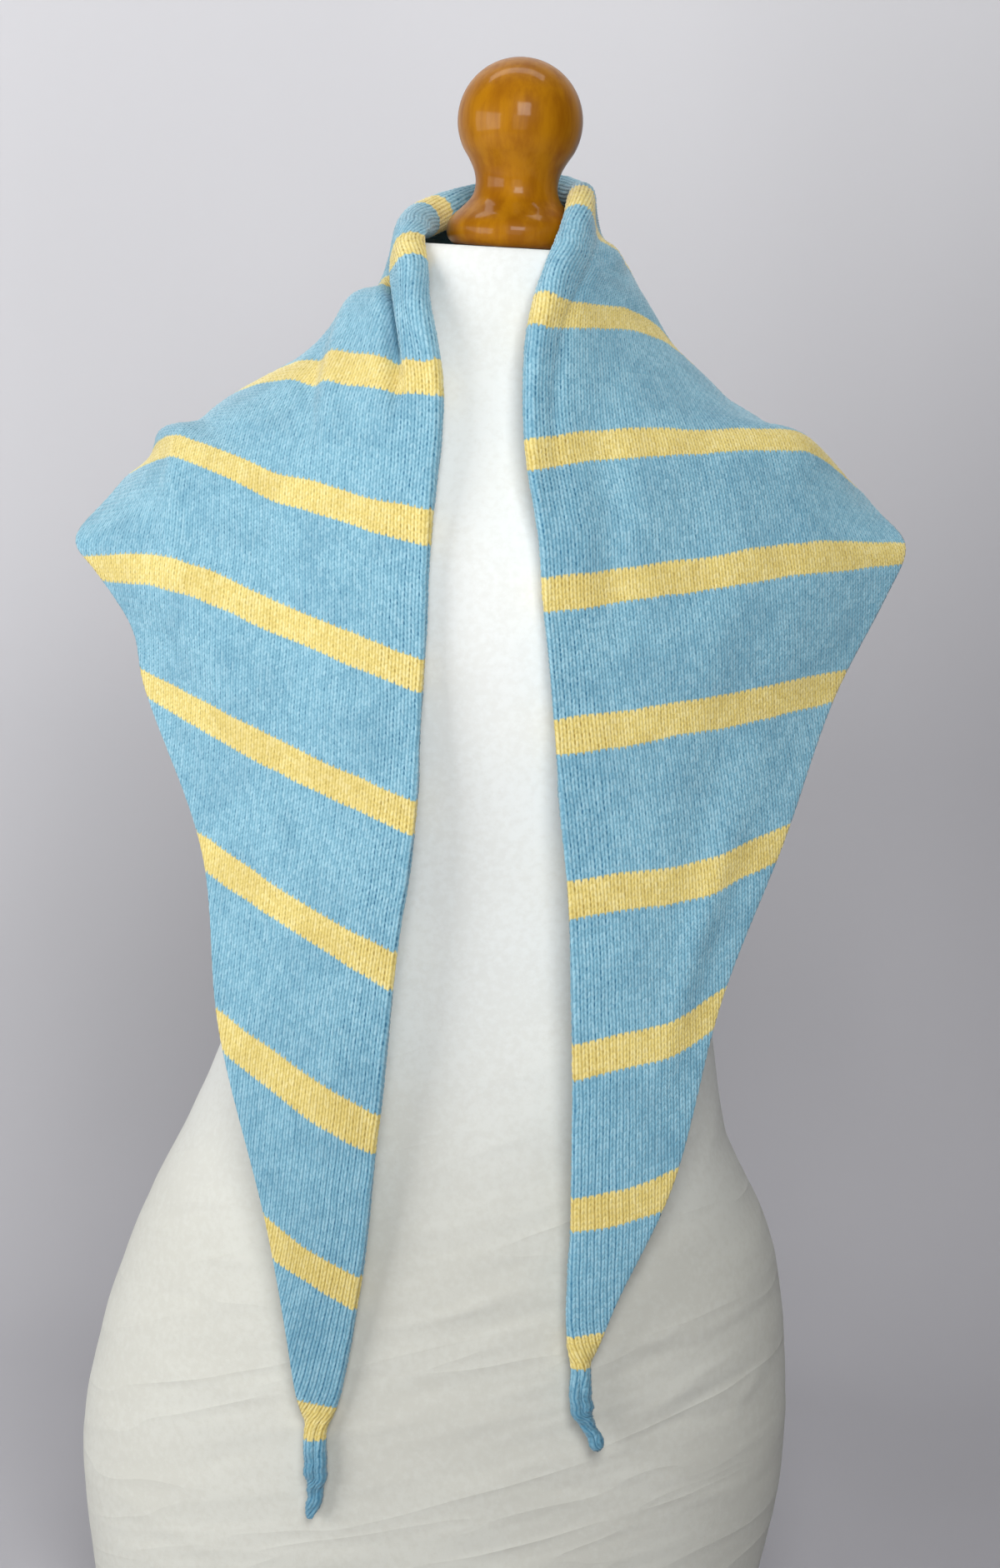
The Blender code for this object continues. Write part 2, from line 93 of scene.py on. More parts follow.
# slight creases of the cover on the torso's front, between two places (x, z): width and height in mm
Crease = namedtuple("Crease", "x_a z_a x_b z_b width height")
CREASES = [Crease(*row) for row in (
    (-38, 246, 61, 277, 4.0, 1.0),
    (-30, 232, 66, 262, 5.3, -0.75),
    (-165, 309, -112, 312, 4.0, -1.0),
    (-160, 318, -118, 322, 4.6, 0.75),
    (-178, 284, -128, 294, 4.0, -1.0),
    (-172, 293, -134, 304, 4.0, 0.62),
    (-152, 276, -100, 268, 4.0, 0.88),
    (-196, 242, -140, 243, 4.6, -1.0),
    (-150, 250, -96, 251, 4.0, 0.88),
    (-188, 206, -110, 196, 5.9, 0.88),
    (-160, 146, -96, 168, 5.9, -0.88),
    (-190, 120, -120, 92, 6.6, 0.88),
    (89, 242, 153, 246, 4.0, 1.0),
    (80, 230, 150, 234, 4.0, -0.88),
    (96, 197, 178, 230, 4.0, 1.0),
    (100, 186, 182, 216, 4.6, -1.0),
    (107, 199, 194, 188, 4.6, -0.88),
    (93, 266, 120, 302, 4.0, -0.88),
    (140, 330, 152, 372, 4.0, 0.75),
    (190, 228, 164, 186, 4.6, 1.0),
    (110, 158, 196, 132, 5.9, 0.88),
    (-5, 152, 80, 174, 5.3, 0.75),
    (30, 164, 146, 146, 4.6, -0.88),
    (-11, 350, 50, 354, 2.6, 0.5),
    (-14, 321, 42, 328, 2.6, -0.5),
    (-20, 112, 90, 92, 6.6, 0.88),
)]
CREASED_TO = 470.0          # height up to which the rings are close together for the creases
CREASE_RIPPLE = 0.30        # mm of uneven surface between the creases
CREASE_BEND = 3.0           # mm by which a crease winds to either side of its straight line
CREASE_STUB = 0.04          # share of a crease at either end over which it gets no lower
RIPPLE_FADE = (460.0, 330.0)  # heights over which the uneven surface comes in
SMOOTH_BACK = 0.25          # share of the way round, from +X, of the middle of the back, where it is smooth
SMOOTH_BACK_WIDTH = 0.04    # share of the way round, to either side, over which it comes back
FOOT_FADE = 12.0            # mm above the base over which creases and unevenness come in
NECK_FADE = 40.0            # mm below the neck's top over which they go
SPARSER = 4                 # rings of the creased part for each ring of the smooth part above it
NECK_LIP = 1.2              # mm below the neck's top where its lip begins

# the finial's outline: heights above the neck top
Turning = namedtuple("Turning", "height radius")
BALL_RADIUS = 35.2
BALL_HEIGHT = 70.0
BALL_FIRST_ANGLE = 3.0      # degrees down from the ball's top to its first ring
BALL_LAST_ANGLE = 118.0     # and to where the stem begins
BALL_RINGS = 44
STEM_RINGS = 60
FINIAL_STEM = [Turning(*row) for row in (
    (47.5, 27.3), (43.0, 25.0), (38.5, 23.6), (34.5, 23.2), (30.5, 23.7),
    (27.0, 25.1), (23.5, 27.9), (20.5, 30.9), (17.5, 34.0), (14.5, 36.5),
    (11.0, 38.0), (8.0, 38.2), (4.5, 37.4), (1.8, 35.6), (0.3, 33.2),
)]

# the kerchief's courses, each from the rolled long edge out to the selvedge; along is measured from the
# right point along the long edge
Course = namedtuple("Course", "along edge gutter fall inner outer hem")


def flat_course(along, edge, hem, belly):
    """A course of a hanging front: straight from edge to hem, bowed forward by belly millimetres."""
    start, end = np.array(edge, float), np.array(hem, float)
    points = []
    for share in (0.0, 0.13, 0.25, 0.37, 0.69, 1.0):
        bow = np.array([0.0, -4.0 * belly * share * (1.0 - share), 0.0])
        points.append(tuple(start + (end - start) * share + bow))
    return Course(along, *points)


def left(distance):
    """The place along the long edge that lies this far from the left point."""
    return LONG_EDGE - distance


COURSES = [
    flat_course(40, (-69, -121, 172), (-80, -121, 173), 0),
    flat_course(60, (-66, -122, 191), (-83, -122, 193), 0),
    flat_course(145, (-55, -124, 271), (-105, -121, 302), 2),
    flat_course(230, (-49, -125, 365), (-138, -108, 413), 5),
    flat_course(315, (-44, -126, 456), (-153, -90, 510), 8),
    flat_course(400, (-37, -127, 543), (-193, -58, 598), 12),
    Course(445, (-37, -127, 585), (-60, -123, 593), (-83, -118, 600),
           (-104, -110, 607), (-163, -83, 625), (-202, -49, 629)),
    Course(485, (-37, -127, 622), (-63, -123, 630), (-88, -116, 638),
           (-112, -106, 645), (-182, -72, 664), (-226, -38, 659)),
    Course(508, (-37, -126, 643), (-64, -122, 651), (-89, -114, 659),
           (-114, -103, 666), (-184, -64, 683), (-238, -34, 673.3)),
    Course(535, (-38, -125, 668), (-65, -119, 675), (-90, -111, 682),
           (-114, -100, 688), (-182, -56, 706), (-225, -2, 693)),
    Course(570, (-39, -122, 701), (-66, -113, 706), (-90, -103, 711),
           (-114, -91, 715), (-178, -44, 729), (-212, 26, 709.5)),
    Course(655, (-41, -90, 781), (-64, -79, 783), (-94, -57, 781),
           (-120, -30, 775), (-170, 46, 736), (-178, 88, 660)),
    Course(700, (-57, -66, 818), (-69, -48, 820), (-92, -8, 814),
           (-106, 16, 788), (-139, 70, 735), (-154, 104, 626)),
    Course(740, (-64, -40, 842), (-70, -20, 828), (-84, 16, 812),
           (-100, 56, 775), (-113, 102, 682), (-125, 116, 592)),
    Course(825, (-54, 34, 869), (-58, 46, 846), (-64, 64, 816),
           (-66, 88, 772), (-58, 116, 655), (-50, 120, 534)),
    Course(870, (-17, 71, 880), (-19, 77, 855), (-21, 84, 818),
           (-22, 99, 765), (-20, 117, 640), (-16, 121, 500)),
    Course(left(830), (22, 59, 886), (25, 68, 858), (27, 82, 820),
           (29, 98, 768), (33, 117, 645), (38, 121, 521)),
    Course(left(785), (42, 16, 882), (47, 29, 861), (60, 52, 829),
           (66, 86, 776), (73, 114, 668), (78, 120, 560)),
    Course(left(745), (43, -24, 877), (45, -13, 863), (64, 16, 843),
           (80, 58, 797), (97, 108, 692), (108, 116, 602)),
    Course(left(722), (41, -45, 863), (47, -38, 852), (69, 4, 834),
           (88, 44, 796), (111, 97, 704), (124, 111, 620)),
    Course(left(700), (36, -63, 847), (43, -56, 841), (70, -18, 829),
           (95, 22, 795), (124, 82, 716), (138, 104, 638)),
    Course(left(660), (24, -87, 816), (38, -74, 815), (66, -44, 812),
           (94, -12, 798), (138, 46, 748), (162, 90, 669)),
    Course(left(617), (18, -106, 780), (41, -93, 782), (70, -74, 782),
           (100, -50, 776), (152, 0, 752), (190, 54, 694)),
    Course(left(575), (19, -121, 742), (45, -109, 747), (74, -98, 750),
           (103, -84, 752), (162, -46, 757), (205, 11, 721)),
    Course(left(540), (23, -125, 715), (51, -117, 720), (78, -108, 724),
           (104, -96, 727), (169, -58, 734), (216, -8, 712.5)),
    Course(left(520), (26, -126, 698), (53, -120, 703), (79, -111, 707),
           (104, -100, 710), (172, -64, 716), (224, -22, 706)),
    Course(left(509), (27, -127, 688), (54, -121, 693), (79, -112, 697),
           (104, -102, 700), (171, -69, 707), (228, -28, 702)),
    Course(left(497), (28, -127, 676), (54, -121, 681), (79, -113, 685),
           (104, -104, 688), (172, -74, 697), (230, -36, 697)),
    Course(left(455), (33, -127, 638), (56, -122, 642), (79, -116, 646),
           (102, -109, 649), (162, -84, 659), (219, -46, 667)),
    flat_course(left(405), (39, -127, 592), (196.5, -58, 619), 12),
    flat_course(left(320), (52, -126, 502), (169, -90, 535), 8),
    flat_course(left(235), (61, -125, 412), (139, -108, 445), 5),
    flat_course(left(150), (66, -124, 324), (119, -120, 343), 2),
    flat_course(left(65), (70, -122, 240), (84, -122, 242), 0),
    flat_course(left(40), (74, -121, 216), (84, -121, 217), 0),
]

# the curl of the long edge: it turns under along the fronts and rolls into a tube round the neck
Curl = namedtuple("Curl", "along radius sweep tail")
EDGE_CURL = [Curl(*row) for row in (
    (60, 2.8, 180, 8),
    (560, 3.0, 180, 14),
    (655, 5.0, 205, 6),
    (740, 9.0, 275, 2),
    (left(785), 7.2, 275, 2),
    (left(745), 7.0, 275, 2),
    (left(700), 8.5, 265, 2),
    (left(660), 7.0, 225, 4),
    (left(575), 3.4, 180, 12),
    (left(65), 2.8, 180, 8),
)]

# the soft folds: a ridge (height above zero) or trough between two places on the cloth
Fold = namedtuple("Fold", "along_a across_a along_b across_b width height")
FOLDS = [Fold(*row) for row in (
    (590, 0.25, 705, 0.20, 9, 3.5),
    (590, 0.31, 700, 0.26, 9, -4.5),
    (624, 0.078, 778, 0.061, 4.5, -15.0),
    (left(745), 0.036, left(540), 0.048, 3.6, -2.0),
    (465, 0.72, 610, 0.66, 9, 3.5),
    (572, 0.81, 618, 0.78, 30, 10.0),
    (left(605), 0.66, left(450), 0.72, 14, 1.2),
    (left(370), 0.70, left(190), 0.64, 10, 1.8),
    (left(370), 0.84, left(200), 0.80, 10, -1.2),
    (left(600), 0.15, left(430), 0.17, 11, -2.2),
    (left(560), 0.52, left(400), 0.44, 20, 1.8),
    (left(470), 0.62, left(250), 0.5, 16, -1.6),
    (430, 0.34, 560, 0.42, 15, -2.0),
    (300, 0.5, 470, 0.6, 18, 1.8),
    (680, 0.55, 690, 1.0, 26, -7.0),
    (735, 0.60, 745, 1.0, 24, 7.0),
    (792, 0.55, 800, 1.0, 24, -7.0),
    (905, 0.60, 900, 1.0, 26, -6.0),
    (960, 0.55, 955, 1.0, 24, 6.0),
    (1018, 0.55, 1015, 1.0, 26, -7.0),
)]

# where the hanging cloth pulls its rows askew: a place on the cloth (mm along, mm across from the hidden
# edge), how far the pull reaches each way, and the rows it amounts to
Pull = namedtuple("Pull", "along across reach_along reach_across rows")
PULLS = [Pull(*row) for row in (
    (187, 55, 45, 45, -2.1),
    (484, 110, 45, 110, -0.8),
    (569, 110, 45, 110, -1.0),
    (654, 60, 45, 60, -1.9),
    (824, 30, 40, 120, -2.3),
    (left(746), 30, 35, 60, 0.9),
    (left(660), 150, 45, 60, -3.0),
    (left(572), 190, 40, 65, 2.6),
    (left(494), 60, 30, 50, 0.8),
    (left(318), 92, 40, 38, 2.1),
    (left(238), 72, 35, 30, 2.2),
    (left(152), 52, 28, 25, 1.3),
    (left(66), 25, 20, 60, -1.1),
)]

# the rolled points: middle line and radius, from the cloth down to the tip
RollPoint = namedtuple("RollPoint", "x y z radius")
RIGHT_POINT = [RollPoint(*row) for row in (
    (-74.8, -119.2, 192.4, 6.6), (-73.6, -119.5, 182, 6.9), (-72.1, -119.5, 170, 6.8),
    (-71.3, -119.4, 158, 6.2), (-71, -119, 149, 5.2), (-71.3, -119, 142.5, 4.6), (-73, -119, 136.5, 3.2),
    (-74, -119, 131, 2.9),
)]
LEFT_POINT = [RollPoint(*row) for row in (
    (74, -120, 236.7, 6.5), (74.1, -120, 228, 6.5), (74.6, -120, 217, 6.6), (75.9, -120, 208.5, 6.3),
    (79.2, -120, 200.5, 4.9), (83.7, -120, 192.5, 3.5), (86.3, -120, 187, 3.3), (87, -120, 183.3, 3.0),
)]

# ---------------------------------------------------------------- how finely the cloth is drawn
BASE_STEP = 8.0             # mm along the long edge between rows of the smooth cloth
POINT_STEP = 2.0            # the same in the rolled points
CURL_STEPS = 8              # steps round the curl
ACROSS_STEPS = 46           # steps from the curl to the selvedge
ACROSS_GROWTH = 1.35        # the steps widen away from the edge by this power
COURSE_SAMPLES = 160        # samples that measure one course's length
LINES_PER_ROW = 3           # mesh lines in one knitted row
COLUMNS_PER_STITCH = 4      # mesh columns in one stitch: side, leg, middle, leg
COLUMNS_PER_LEG = 2
LEG_RISE = 0.34             # rows that a leg climbs from the stitch's middle to its side
FIRST_ROW_SHIFT = 0.35      # rows between the right point's end and the first row
BACK_ROWS = 2               # rows in one face of the purl side
ROLL_END = 3.0              # mm over which a point's end rounds off
LEAST_ROUNDING = 0.05       # share of the radius that is left at the very end
ROLL_LUMPS = 0.22           # share of a rolled point's radius by which it is uneven
LUMP_LENGTHS = (2.4, 6.3)   # mm for each radian of the two waves that make the lumps
LUMP_SWING = 1.4            # radians by which the shorter wave swings to and fro round the tube
LUMPS_FADE = (50.0, 30.0)   # mm from the tip over which the lumps come in
ROLL_DENT = 0.40            # depth of the dent down a rolled point's front, of its radius
DENT_TURN = 0.12            # radians from the tube's front to the dent's middle
DENT_WIDTH = 0.42           # radians from the dent's middle to where it is about a third as deep
ROLL_SLIMMER = 0.9          # mm taken off a rolled point's radius for the legs that stand on it
SLIMMER_FROM = (4.0, 20.0)  # mm from the tip over which that comes in
ROLL_REACH = 84.0           # mm from the tip up to which rows take part in the roll
ROLL_OPENS = (42.0, 78.0)   # mm from the tip over which the tube opens into the flat cloth
ROLL_STRAIGHT = 50.0        # mm from the tip whose mean direction stands in where a row has none
POINT_GAP = 0.22            # radians left open where a rolled point's edges meet behind
FINE_PAST_POINT = 8.0       # mm past a rolled point that keep its finer step
ROWS_SPARED = 16            # wide steps that the two finely stepped ends stand in for
RELAXING = 0.25             # share by which a point is drawn towards its neighbours

# unevenness: its size, how many steps of the grid one bump spans each way, and the seed
Bumps = namedtuple("Bumps", "size tall wide seed")
COVER_RIPPLE = (Bumps(1.0, 7, 26, 31), Bumps(0.6, 4, 11, 32))  # of CREASE_RIPPLE; not closed at +X
STITCH_SWAY = (Bumps(0.55, 40, 24, 11), Bumps(0.25, 9, 10, 12))  # mm to either side
ROW_LAG = (Bumps(0.8, 30, 30, 13), Bumps(0.4, 5, 9, 14))  # mesh lines up or down
LOOSE_CLOTH = (Bumps(0.35, 24, 18, 22),)  # mm in and out
LEG_SEED = 21
LEG_UNEVEN = 0.22           # share by which one leg stands higher or lower than the next
SWAY_FADE = 12.0            # mm from either edge over which the sway comes in
EDGE_THINNING = 3.0         # mm from the selvedge within which the legs are flatter
LEAST_RELIEF = 0.25         # share of their height that is left at the selvedge
TIP_THINNING = 10.0         # mm from a tip within which the cloth is thinner
LEAST_THICKNESS = 0.15      # share of its thickness that is left at the tip
WALL_IN_FRONT = 0.28        # share of the wall that lies in front of the cloth's middle
SELVEDGE_CATCH = 0.35       # mm inside the selvedge where a column is taken to reach it

# height of the yarn at each line of a row (rows here) and each column of a stitch
LEG_SHAPE = np.array([
    [0.30, 0.66, 0.00, 0.66],
    [0.06, 1.00, 0.34, 1.00],
    [0.00, 0.96, 0.42, 0.96],
])

KnitPiece = namedtuple("KnitPiece", "name first_row last_row nodes")
KNIT_PIECES = [KnitPiece(*row) for row in (
    ("knit_right_front", 0, 166, ("right_point", "right_front")),
    ("knit_right_shoulder", 166, 236, ("right_shoulder",)),
    ("knit_nape", 236, 296, ("nape_and_back",)),
    ("knit_left_shoulder", 296, 366, ("left_shoulder",)),
    ("knit_left_front", 366, 532, ("left_front", "left_point")),
)]


# ================================================================ settings
def colour_setting(name, description, default):
    return FloatVectorProperty(
        name=name, description=description, default=default, subtype="COLOR", size=3, min=0.0, max=1.0
    )


def length_setting(name, description, default):
    return FloatProperty(name=name, description=description, default=default, unit="LENGTH")


def power_setting(name, description, default):
    return FloatProperty(name=name, description=description, default=default, min=0.0)


def count_setting(name, description, default, least):
    return IntProperty(name=name, description=description, default=default, min=least)


class KnitSettings(bpy.types.PropertyGroup):
    """The kerchief's gauge and colours."""

    body_stitch: length_setting("Body stitch", "Width of one stitch", 0.00368)
    edge_stitch: length_setting("Edge stitch", "Width of a stitch in the edge band", 0.00405)
    row_height: length_setting("Row height", "Height of one knitted row", 0.003269)
    relief: length_setting("Relief", "How far a leg of yarn stands up", 0.0008)
    wall: length_setting("Wall", "Thickness of the cloth under the legs", 0.0014)
    edge_stitches: count_setting("Edge stitches", "Stitches in the edge band", 11, 1)
    first_stripe: count_setting("First stripe", "Row where the first stripe begins", 15, 0)
    stripe_rows: count_setting("Stripe rows", "Rows in one stripe", 6, 1)
    pitch_rows: count_setting("Pitch rows", "Rows from stripe to stripe", 26, 2)
    blue: colour_setting("Blue", "Main yarn", (0.24, 0.495, 0.625))
    # the deep colours are darker fibres and also the painted shade in holes, gaps, rolled tips and towards the
    # points
    blue_dark_and_shade: colour_setting("Deep blue", "Darker fibres of the main yarn", (0.045, 0.18, 0.30))
    # the pale colours are paler fibres and also the painted highlight on the tops of the legs
    blue_pale_and_highlight: colour_setting("Pale blue", "Paler fibres of the main yarn", (0.47, 0.72, 0.82))
    yellow: colour_setting("Yellow", "Stripe yarn", (0.83, 0.675, 0.215))
    yellow_dark_and_shade: colour_setting("Deep yellow", "Darker fibres of the stripe yarn", (0.44, 0.31, 0.07))
    yellow_pale_and_highlight: colour_setting("Pale yellow", "Paler fibres of the stripe yarn", (0.95, 0.86, 0.48))


class FormSettings(bpy.types.PropertyGroup):
    """The calico dress form."""

    sides: count_setting("Sides", "Points round the torso", 340, 24)
    ring_gap: length_setting("Ring gap", "Height between rings of the lower part", 0.0024)
    calico: colour_setting("Calico", "Cover cloth", (0.88, 0.90, 0.88))
    thread: colour_setting("Thread", "Darker threads of the cover", (0.80, 0.805, 0.77))
    # the cream colour is partly the cover's own warmer tint and partly painted shade: it darkens the lower
    # cover where the light falls off towards the foot
    cream_and_shade: colour_setting("Cream", "Tint of the cover's lower part", (0.735, 0.72, 0.67))
    cream_from: length_setting("Cream from", "Height where the tint starts", 0.48)
    cream_to: length_setting("Cream to", "Height where the tint is full", 0.26)


class FinialSettings(bpy.types.PropertyGroup):
    """The turned finial."""

    sides: count_setting("Sides", "Points round the finial", 112, 24)
    light_wood: colour_setting("Light wood", "Wood between the grain lines", (0.42, 0.17, 0.004))
    dark_wood: colour_setting("Dark wood", "Grain lines", (0.29, 0.10, 0.002))


class StageSettings(bpy.types.PropertyGroup):
    """Floor, backdrop, lights and camera."""

    pale: colour_setting("Pale grey", "Floor and backdrop", (0.69, 0.685, 0.71))
    # this colour is painted shade: it darkens the backdrop and floor towards the foot and the right, where the
    # light falls off
    backdrop_shade: colour_setting("Dusk", "Tint of the backdrop towards its foot", (0.60, 0.595, 0.61))
    key_power: power_setting("Key power", "Light from the front left", 18.0)
    side_power: power_setting("Side power", "Light from the left", 9.5)
    front_power: power_setting("Front power", "High light from the front", 26.5)
    low_power: power_setting("Low power", "Low light from the front", 5.5)
    backdrop_power: power_setting("Backdrop power", "Light on the backdrop", 10.0)
    sky: power_setting("Sky", "Strength of the even light", 0.01)


# ================================================================ general helpers
def spline(knots, rows, places):
    """Smooth curve through rows at knots (non-uniform Catmull-Rom), read at places."""
    knots = np.asarray(knots, float)
    rows = np.asarray(rows, float)
    steps = np.diff(knots)
    slopes = np.diff(rows, axis=0) / steps[:, None]
    tangents = np.empty_like(rows)
    tangents[0], tangents[-1] = slopes[0], slopes[-1]
    before, after = steps[:-1, None], steps[1:, None]
    tangents[1:-1] = (slopes[:-1] * after + slopes[1:] * before) / (before + after)
    places = np.clip(np.asarray(places, float), knots[0], knots[-1])
    index = np.clip(np.searchsorted(knots, places, side="right") - 1, 0, len(steps) - 1)
    step = steps[index][:, None]
    t = (places - knots[index])[:, None] / step
    return (
        rows[index] * (2 * t**3 - 3 * t**2 + 1)
        + tangents[index] * step * (t**3 - 2 * t**2 + t)
        + rows[index + 1] * (3 * t**2 - 2 * t**3)
        + tangents[index + 1] * step * (t**3 - t**2)
    )


def carried_on(knots, rows, places):
    """The spline through rows at knots, carried straight on past its ends."""
    places = np.asarray(places, float)
    inside = np.clip(places, knots[0], knots[-1])
    low = spline(knots, rows, [knots[0], knots[0] + 1.0])
    high = spline(knots, rows, [knots[-1] - 1.0, knots[-1]])
    past = (places - inside)[:, None]
    slope = np.where(past < 0.0, low[1] - low[0], high[1] - high[0])
    return spline(knots, rows, places) + past * slope


def smooth_step(value, low, high):
    """0 below low, 1 above high and a soft S between."""
    share = np.clip((value - low) / (high - low), 0.0, 1.0)
    return share * share * (3.0 - 2.0 * share)


def unit(vectors):
    """Vectors of a grid brought to length 1."""
    return vectors / np.maximum(np.linalg.norm(vectors, axis=2, keepdims=True), TINY)


def lengths_along(points):
    """Distance travelled at each point of a line of points."""
    return np.concatenate([[0.0], np.cumsum(np.linalg.norm(np.diff(points, axis=0), axis=1))])


def soft_noise(rows, columns, cell_rows, cell_columns, seed):
    """Smooth seeded noise of about -1 to 1 on a grid, with bumps of the given size in grid steps."""
    coarse_rows, coarse_columns = int(rows / cell_rows) + 3, int(columns / cell_columns) + 3
    coarse = np.random.default_rng(seed).uniform(-1.0, 1.0, (coarse_rows, coarse_columns))
    tall = spline(np.arange(coarse_rows), coarse, np.arange(rows) / cell_rows)
    return spline(np.arange(coarse_columns), tall.T, np.arange(columns) / cell_columns).T


def unevenness(rows, columns, layers):
    """Layers of soft noise on a grid, added up."""
    return sum(bumps.size * soft_noise(rows, columns, *bumps[1:]) for bumps in layers)


def add_piece(name, vertices, faces, materials, collection):
    """A piece from points in millimetres and faces, shaded smooth."""
    mesh = bpy.data.meshes.new(name)
    mesh.from_pydata((np.asarray(vertices) * MM).tolist(), [], faces)
    for material in materials:
        mesh.materials.append(material)
    mesh.shade_smooth()
    item = bpy.data.objects.new(name, mesh)
    collection.objects.link(item)
    return item


def own_collection():
    name = "neckerchief_look"
    collection = bpy.data.collections.get(name)
    if collection is None:
        collection = bpy.data.collections.new(name)
        bpy.context.scene.collection.children.link(collection)
    return collection


# ================================================================ shader helpers
class Value:
    """A number in a shader's tree; arithmetic on it adds Math nodes."""

    def __init__(self, tree, socket):
        self.tree, self.socket = tree, socket

    def __add__(self, other):
        return calc(self.tree, "ADD", self, other)

    def __sub__(self, other):
        return calc(self.tree, "SUBTRACT", self, other)

    def __rsub__(self, other):
        return calc(self.tree, "SUBTRACT", other, self)

    def __mul__(self, other):
        return calc(self.tree, "MULTIPLY", self, other)

    def __truediv__(self, other):
        return calc(self.tree, "DIVIDE", self, other)

    def __pow__(self, other):
        return calc(self.tree, "POWER", self, other)

    def __abs__(self):
        return calc(self.tree, "ABSOLUTE", self)

    def floor(self):
        return calc(self.tree, "FLOOR", self)

    def fraction(self):
        return calc(self.tree, "FRACT", self)

    def larger(self, other):
        return calc(self.tree, "MAXIMUM", self, other)

    def smaller(self, other):
        return calc(self.tree, "MINIMUM", self, other)


def join(tree, value, socket):
    """Link an output to a socket, or set the socket to a plain value."""
    value = value.socket if isinstance(value, Value) else value
    if isinstance(value, bpy.types.NodeSocket):
        tree.links.new(value, socket)
    else:
        socket.default_value = value


def put(tree, kind, inputs, **settings):
    """Add a node with its settings, and fill its inputs by name."""
    node = tree.nodes.new(kind)
    for name, value in settings.items():
        setattr(node, name, value)
    for name, value in inputs.items():
        join(tree, value, node.inputs[name])
    return node


def calc(tree, operation, *values):
    """A Math node's result."""
    node = tree.nodes.new("ShaderNodeMath")
    node.operation = operation
    for socket, value in zip(node.inputs, values):
        join(tree, value, socket)
    return Value(tree, node.outputs[0])


def ramp(tree, value, low, high, bottom=0.0, top=1.0):
    """A smooth step of a value from low to high, giving bottom to top."""
    node = tree.nodes.new("ShaderNodeMapRange")
    node.interpolation_type = "SMOOTHSTEP"
    for socket, number in zip(node.inputs, (value, low, high, bottom, top)):
        join(tree, number, socket)
    return Value(tree, node.outputs[0])


def blend_colours(tree, share, first, second, mode="MIX"):
    """Colour first to colour second by share."""
    node = tree.nodes.new("ShaderNodeMix")
    node.data_type = "RGBA"
    node.blend_type = mode
    for socket, value in ((0, share), (6, first), (7, second)):
        join(tree, value, node.inputs[socket])
    return node.outputs[2]


def noise(tree, vector, scale, detail=2.0, roughness=0.5):
    """A noise value round 0.5."""
    inputs = {"Vector": vector, "Scale": scale, "Detail": detail, "Roughness": roughness}
    return Value(tree, put(tree, "ShaderNodeTexNoise", inputs).outputs[0])


def chance(tree, column, row):
    """A random number from 0 to 1 for each column and row."""
    key = put(tree, "ShaderNodeCombineXYZ", {"X": column, "Y": row}).outputs[0]
    node = put(tree, "ShaderNodeTexWhiteNoise", {"Vector": key}, noise_dimensions="2D")
    return Value(tree, node.outputs["Value"])


def stretched(tree, vector, scale):
    """A vector with each of its directions scaled."""
    return put(tree, "ShaderNodeMapping", {"Vector": vector, "Scale": scale}).outputs[0]


def parts(tree, vector):
    """A vector's three numbers."""
    outputs = put(tree, "ShaderNodeSeparateXYZ", {"Vector": vector}).outputs
    return [Value(tree, output) for output in outputs]


def object_place(tree):
    """Place on the object, in metres."""
    return put(tree, "ShaderNodeTexCoord", {}).outputs["Object"]


def opaque(colour):
    return (*colour, 1.0)


def new_group(name, vector_input, number_outputs):
    """A shader group with one vector in and numbers out: its tree, that vector and its output node."""
    tree = bpy.data.node_groups.new(name, "ShaderNodeTree")
    tree.interface.new_socket(vector_input, in_out="INPUT", socket_type="NodeSocketVector")
    for label in number_outputs:
        tree.interface.new_socket(label, in_out="OUTPUT", socket_type="NodeSocketFloat")
    return tree, tree.nodes.new("NodeGroupInput").outputs[0], tree.nodes.new("NodeGroupOutput")


def place_group(tree, name, vector):
    """Place a shader group in a material, and give its numbers by name."""
    node = tree.nodes.new("ShaderNodeGroup")
    node.node_tree = bpy.data.node_groups[name]
    join(tree, vector, node.inputs[0])
    return {output.name: Value(tree, output) for output in node.outputs}


def new_material(name, values):
    """A material with only its Principled shader, set to these values, and its output."""
    material = bpy.data.materials.new(name)
    material.use_nodes = True
    shader = material.node_tree.nodes["Principled BSDF"]
    for label, value in values.items():
        shader.inputs[label].default_value = value
    return material, material.node_tree, shader


def add_bump(tree, shader, height, distance, strength=1.0):
    """Feed a height to the shader's normal."""
    bump = put(tree, "ShaderNodeBump", {"Height": height, "Distance": distance, "Strength": strength})
    tree.links.new(bump.outputs[0], shader.inputs["Normal"])


# ================================================================ the knit's shader groups
HOLE_HALF_WIDTH = 0.13      # of a stitch
HOLE_HALF_HEIGHT = 0.48     # of a row
LEAST_OPEN = 0.22           # share by which the tightest hole is open
LEG_LEAN = 0.10             # of a stitch, how far a leg leans out between its two ends
LEG_MIDDLE = 0.25           # of a stitch, from its middle to the middle of a leg
LEG_ROUND = 14.0            # how fast a leg falls away to its sides
LEG_BOW = 1.2               # and to its two ends
RIBBED_ROWS = (100.0, 45.0)  # rows from a point where the cloth begins to draw into ribs, and is all ribs
LEAST_RIBBED = 0.52         # share of the ribbing left everywhere else
ROW_COUNT = float(KNIT_PIECES[-1].last_row)
COLOUR_TOOTH = 0.34         # rows by which the middle of a leg carries its colour past the sides
LOOSE_BAND = (9.5, 13.0)    # stitches from the edge over which the loose band ends
BODY_OPENNESS = 0.72        # how open the body's stitches are beside the loose band's
STREAK_SCALE = (1.6, 0.25, 1.0)  # long pale streaks up the columns
STREAK_SHARE = 0.45         # of the yarn's tone; the rest is each leg's own


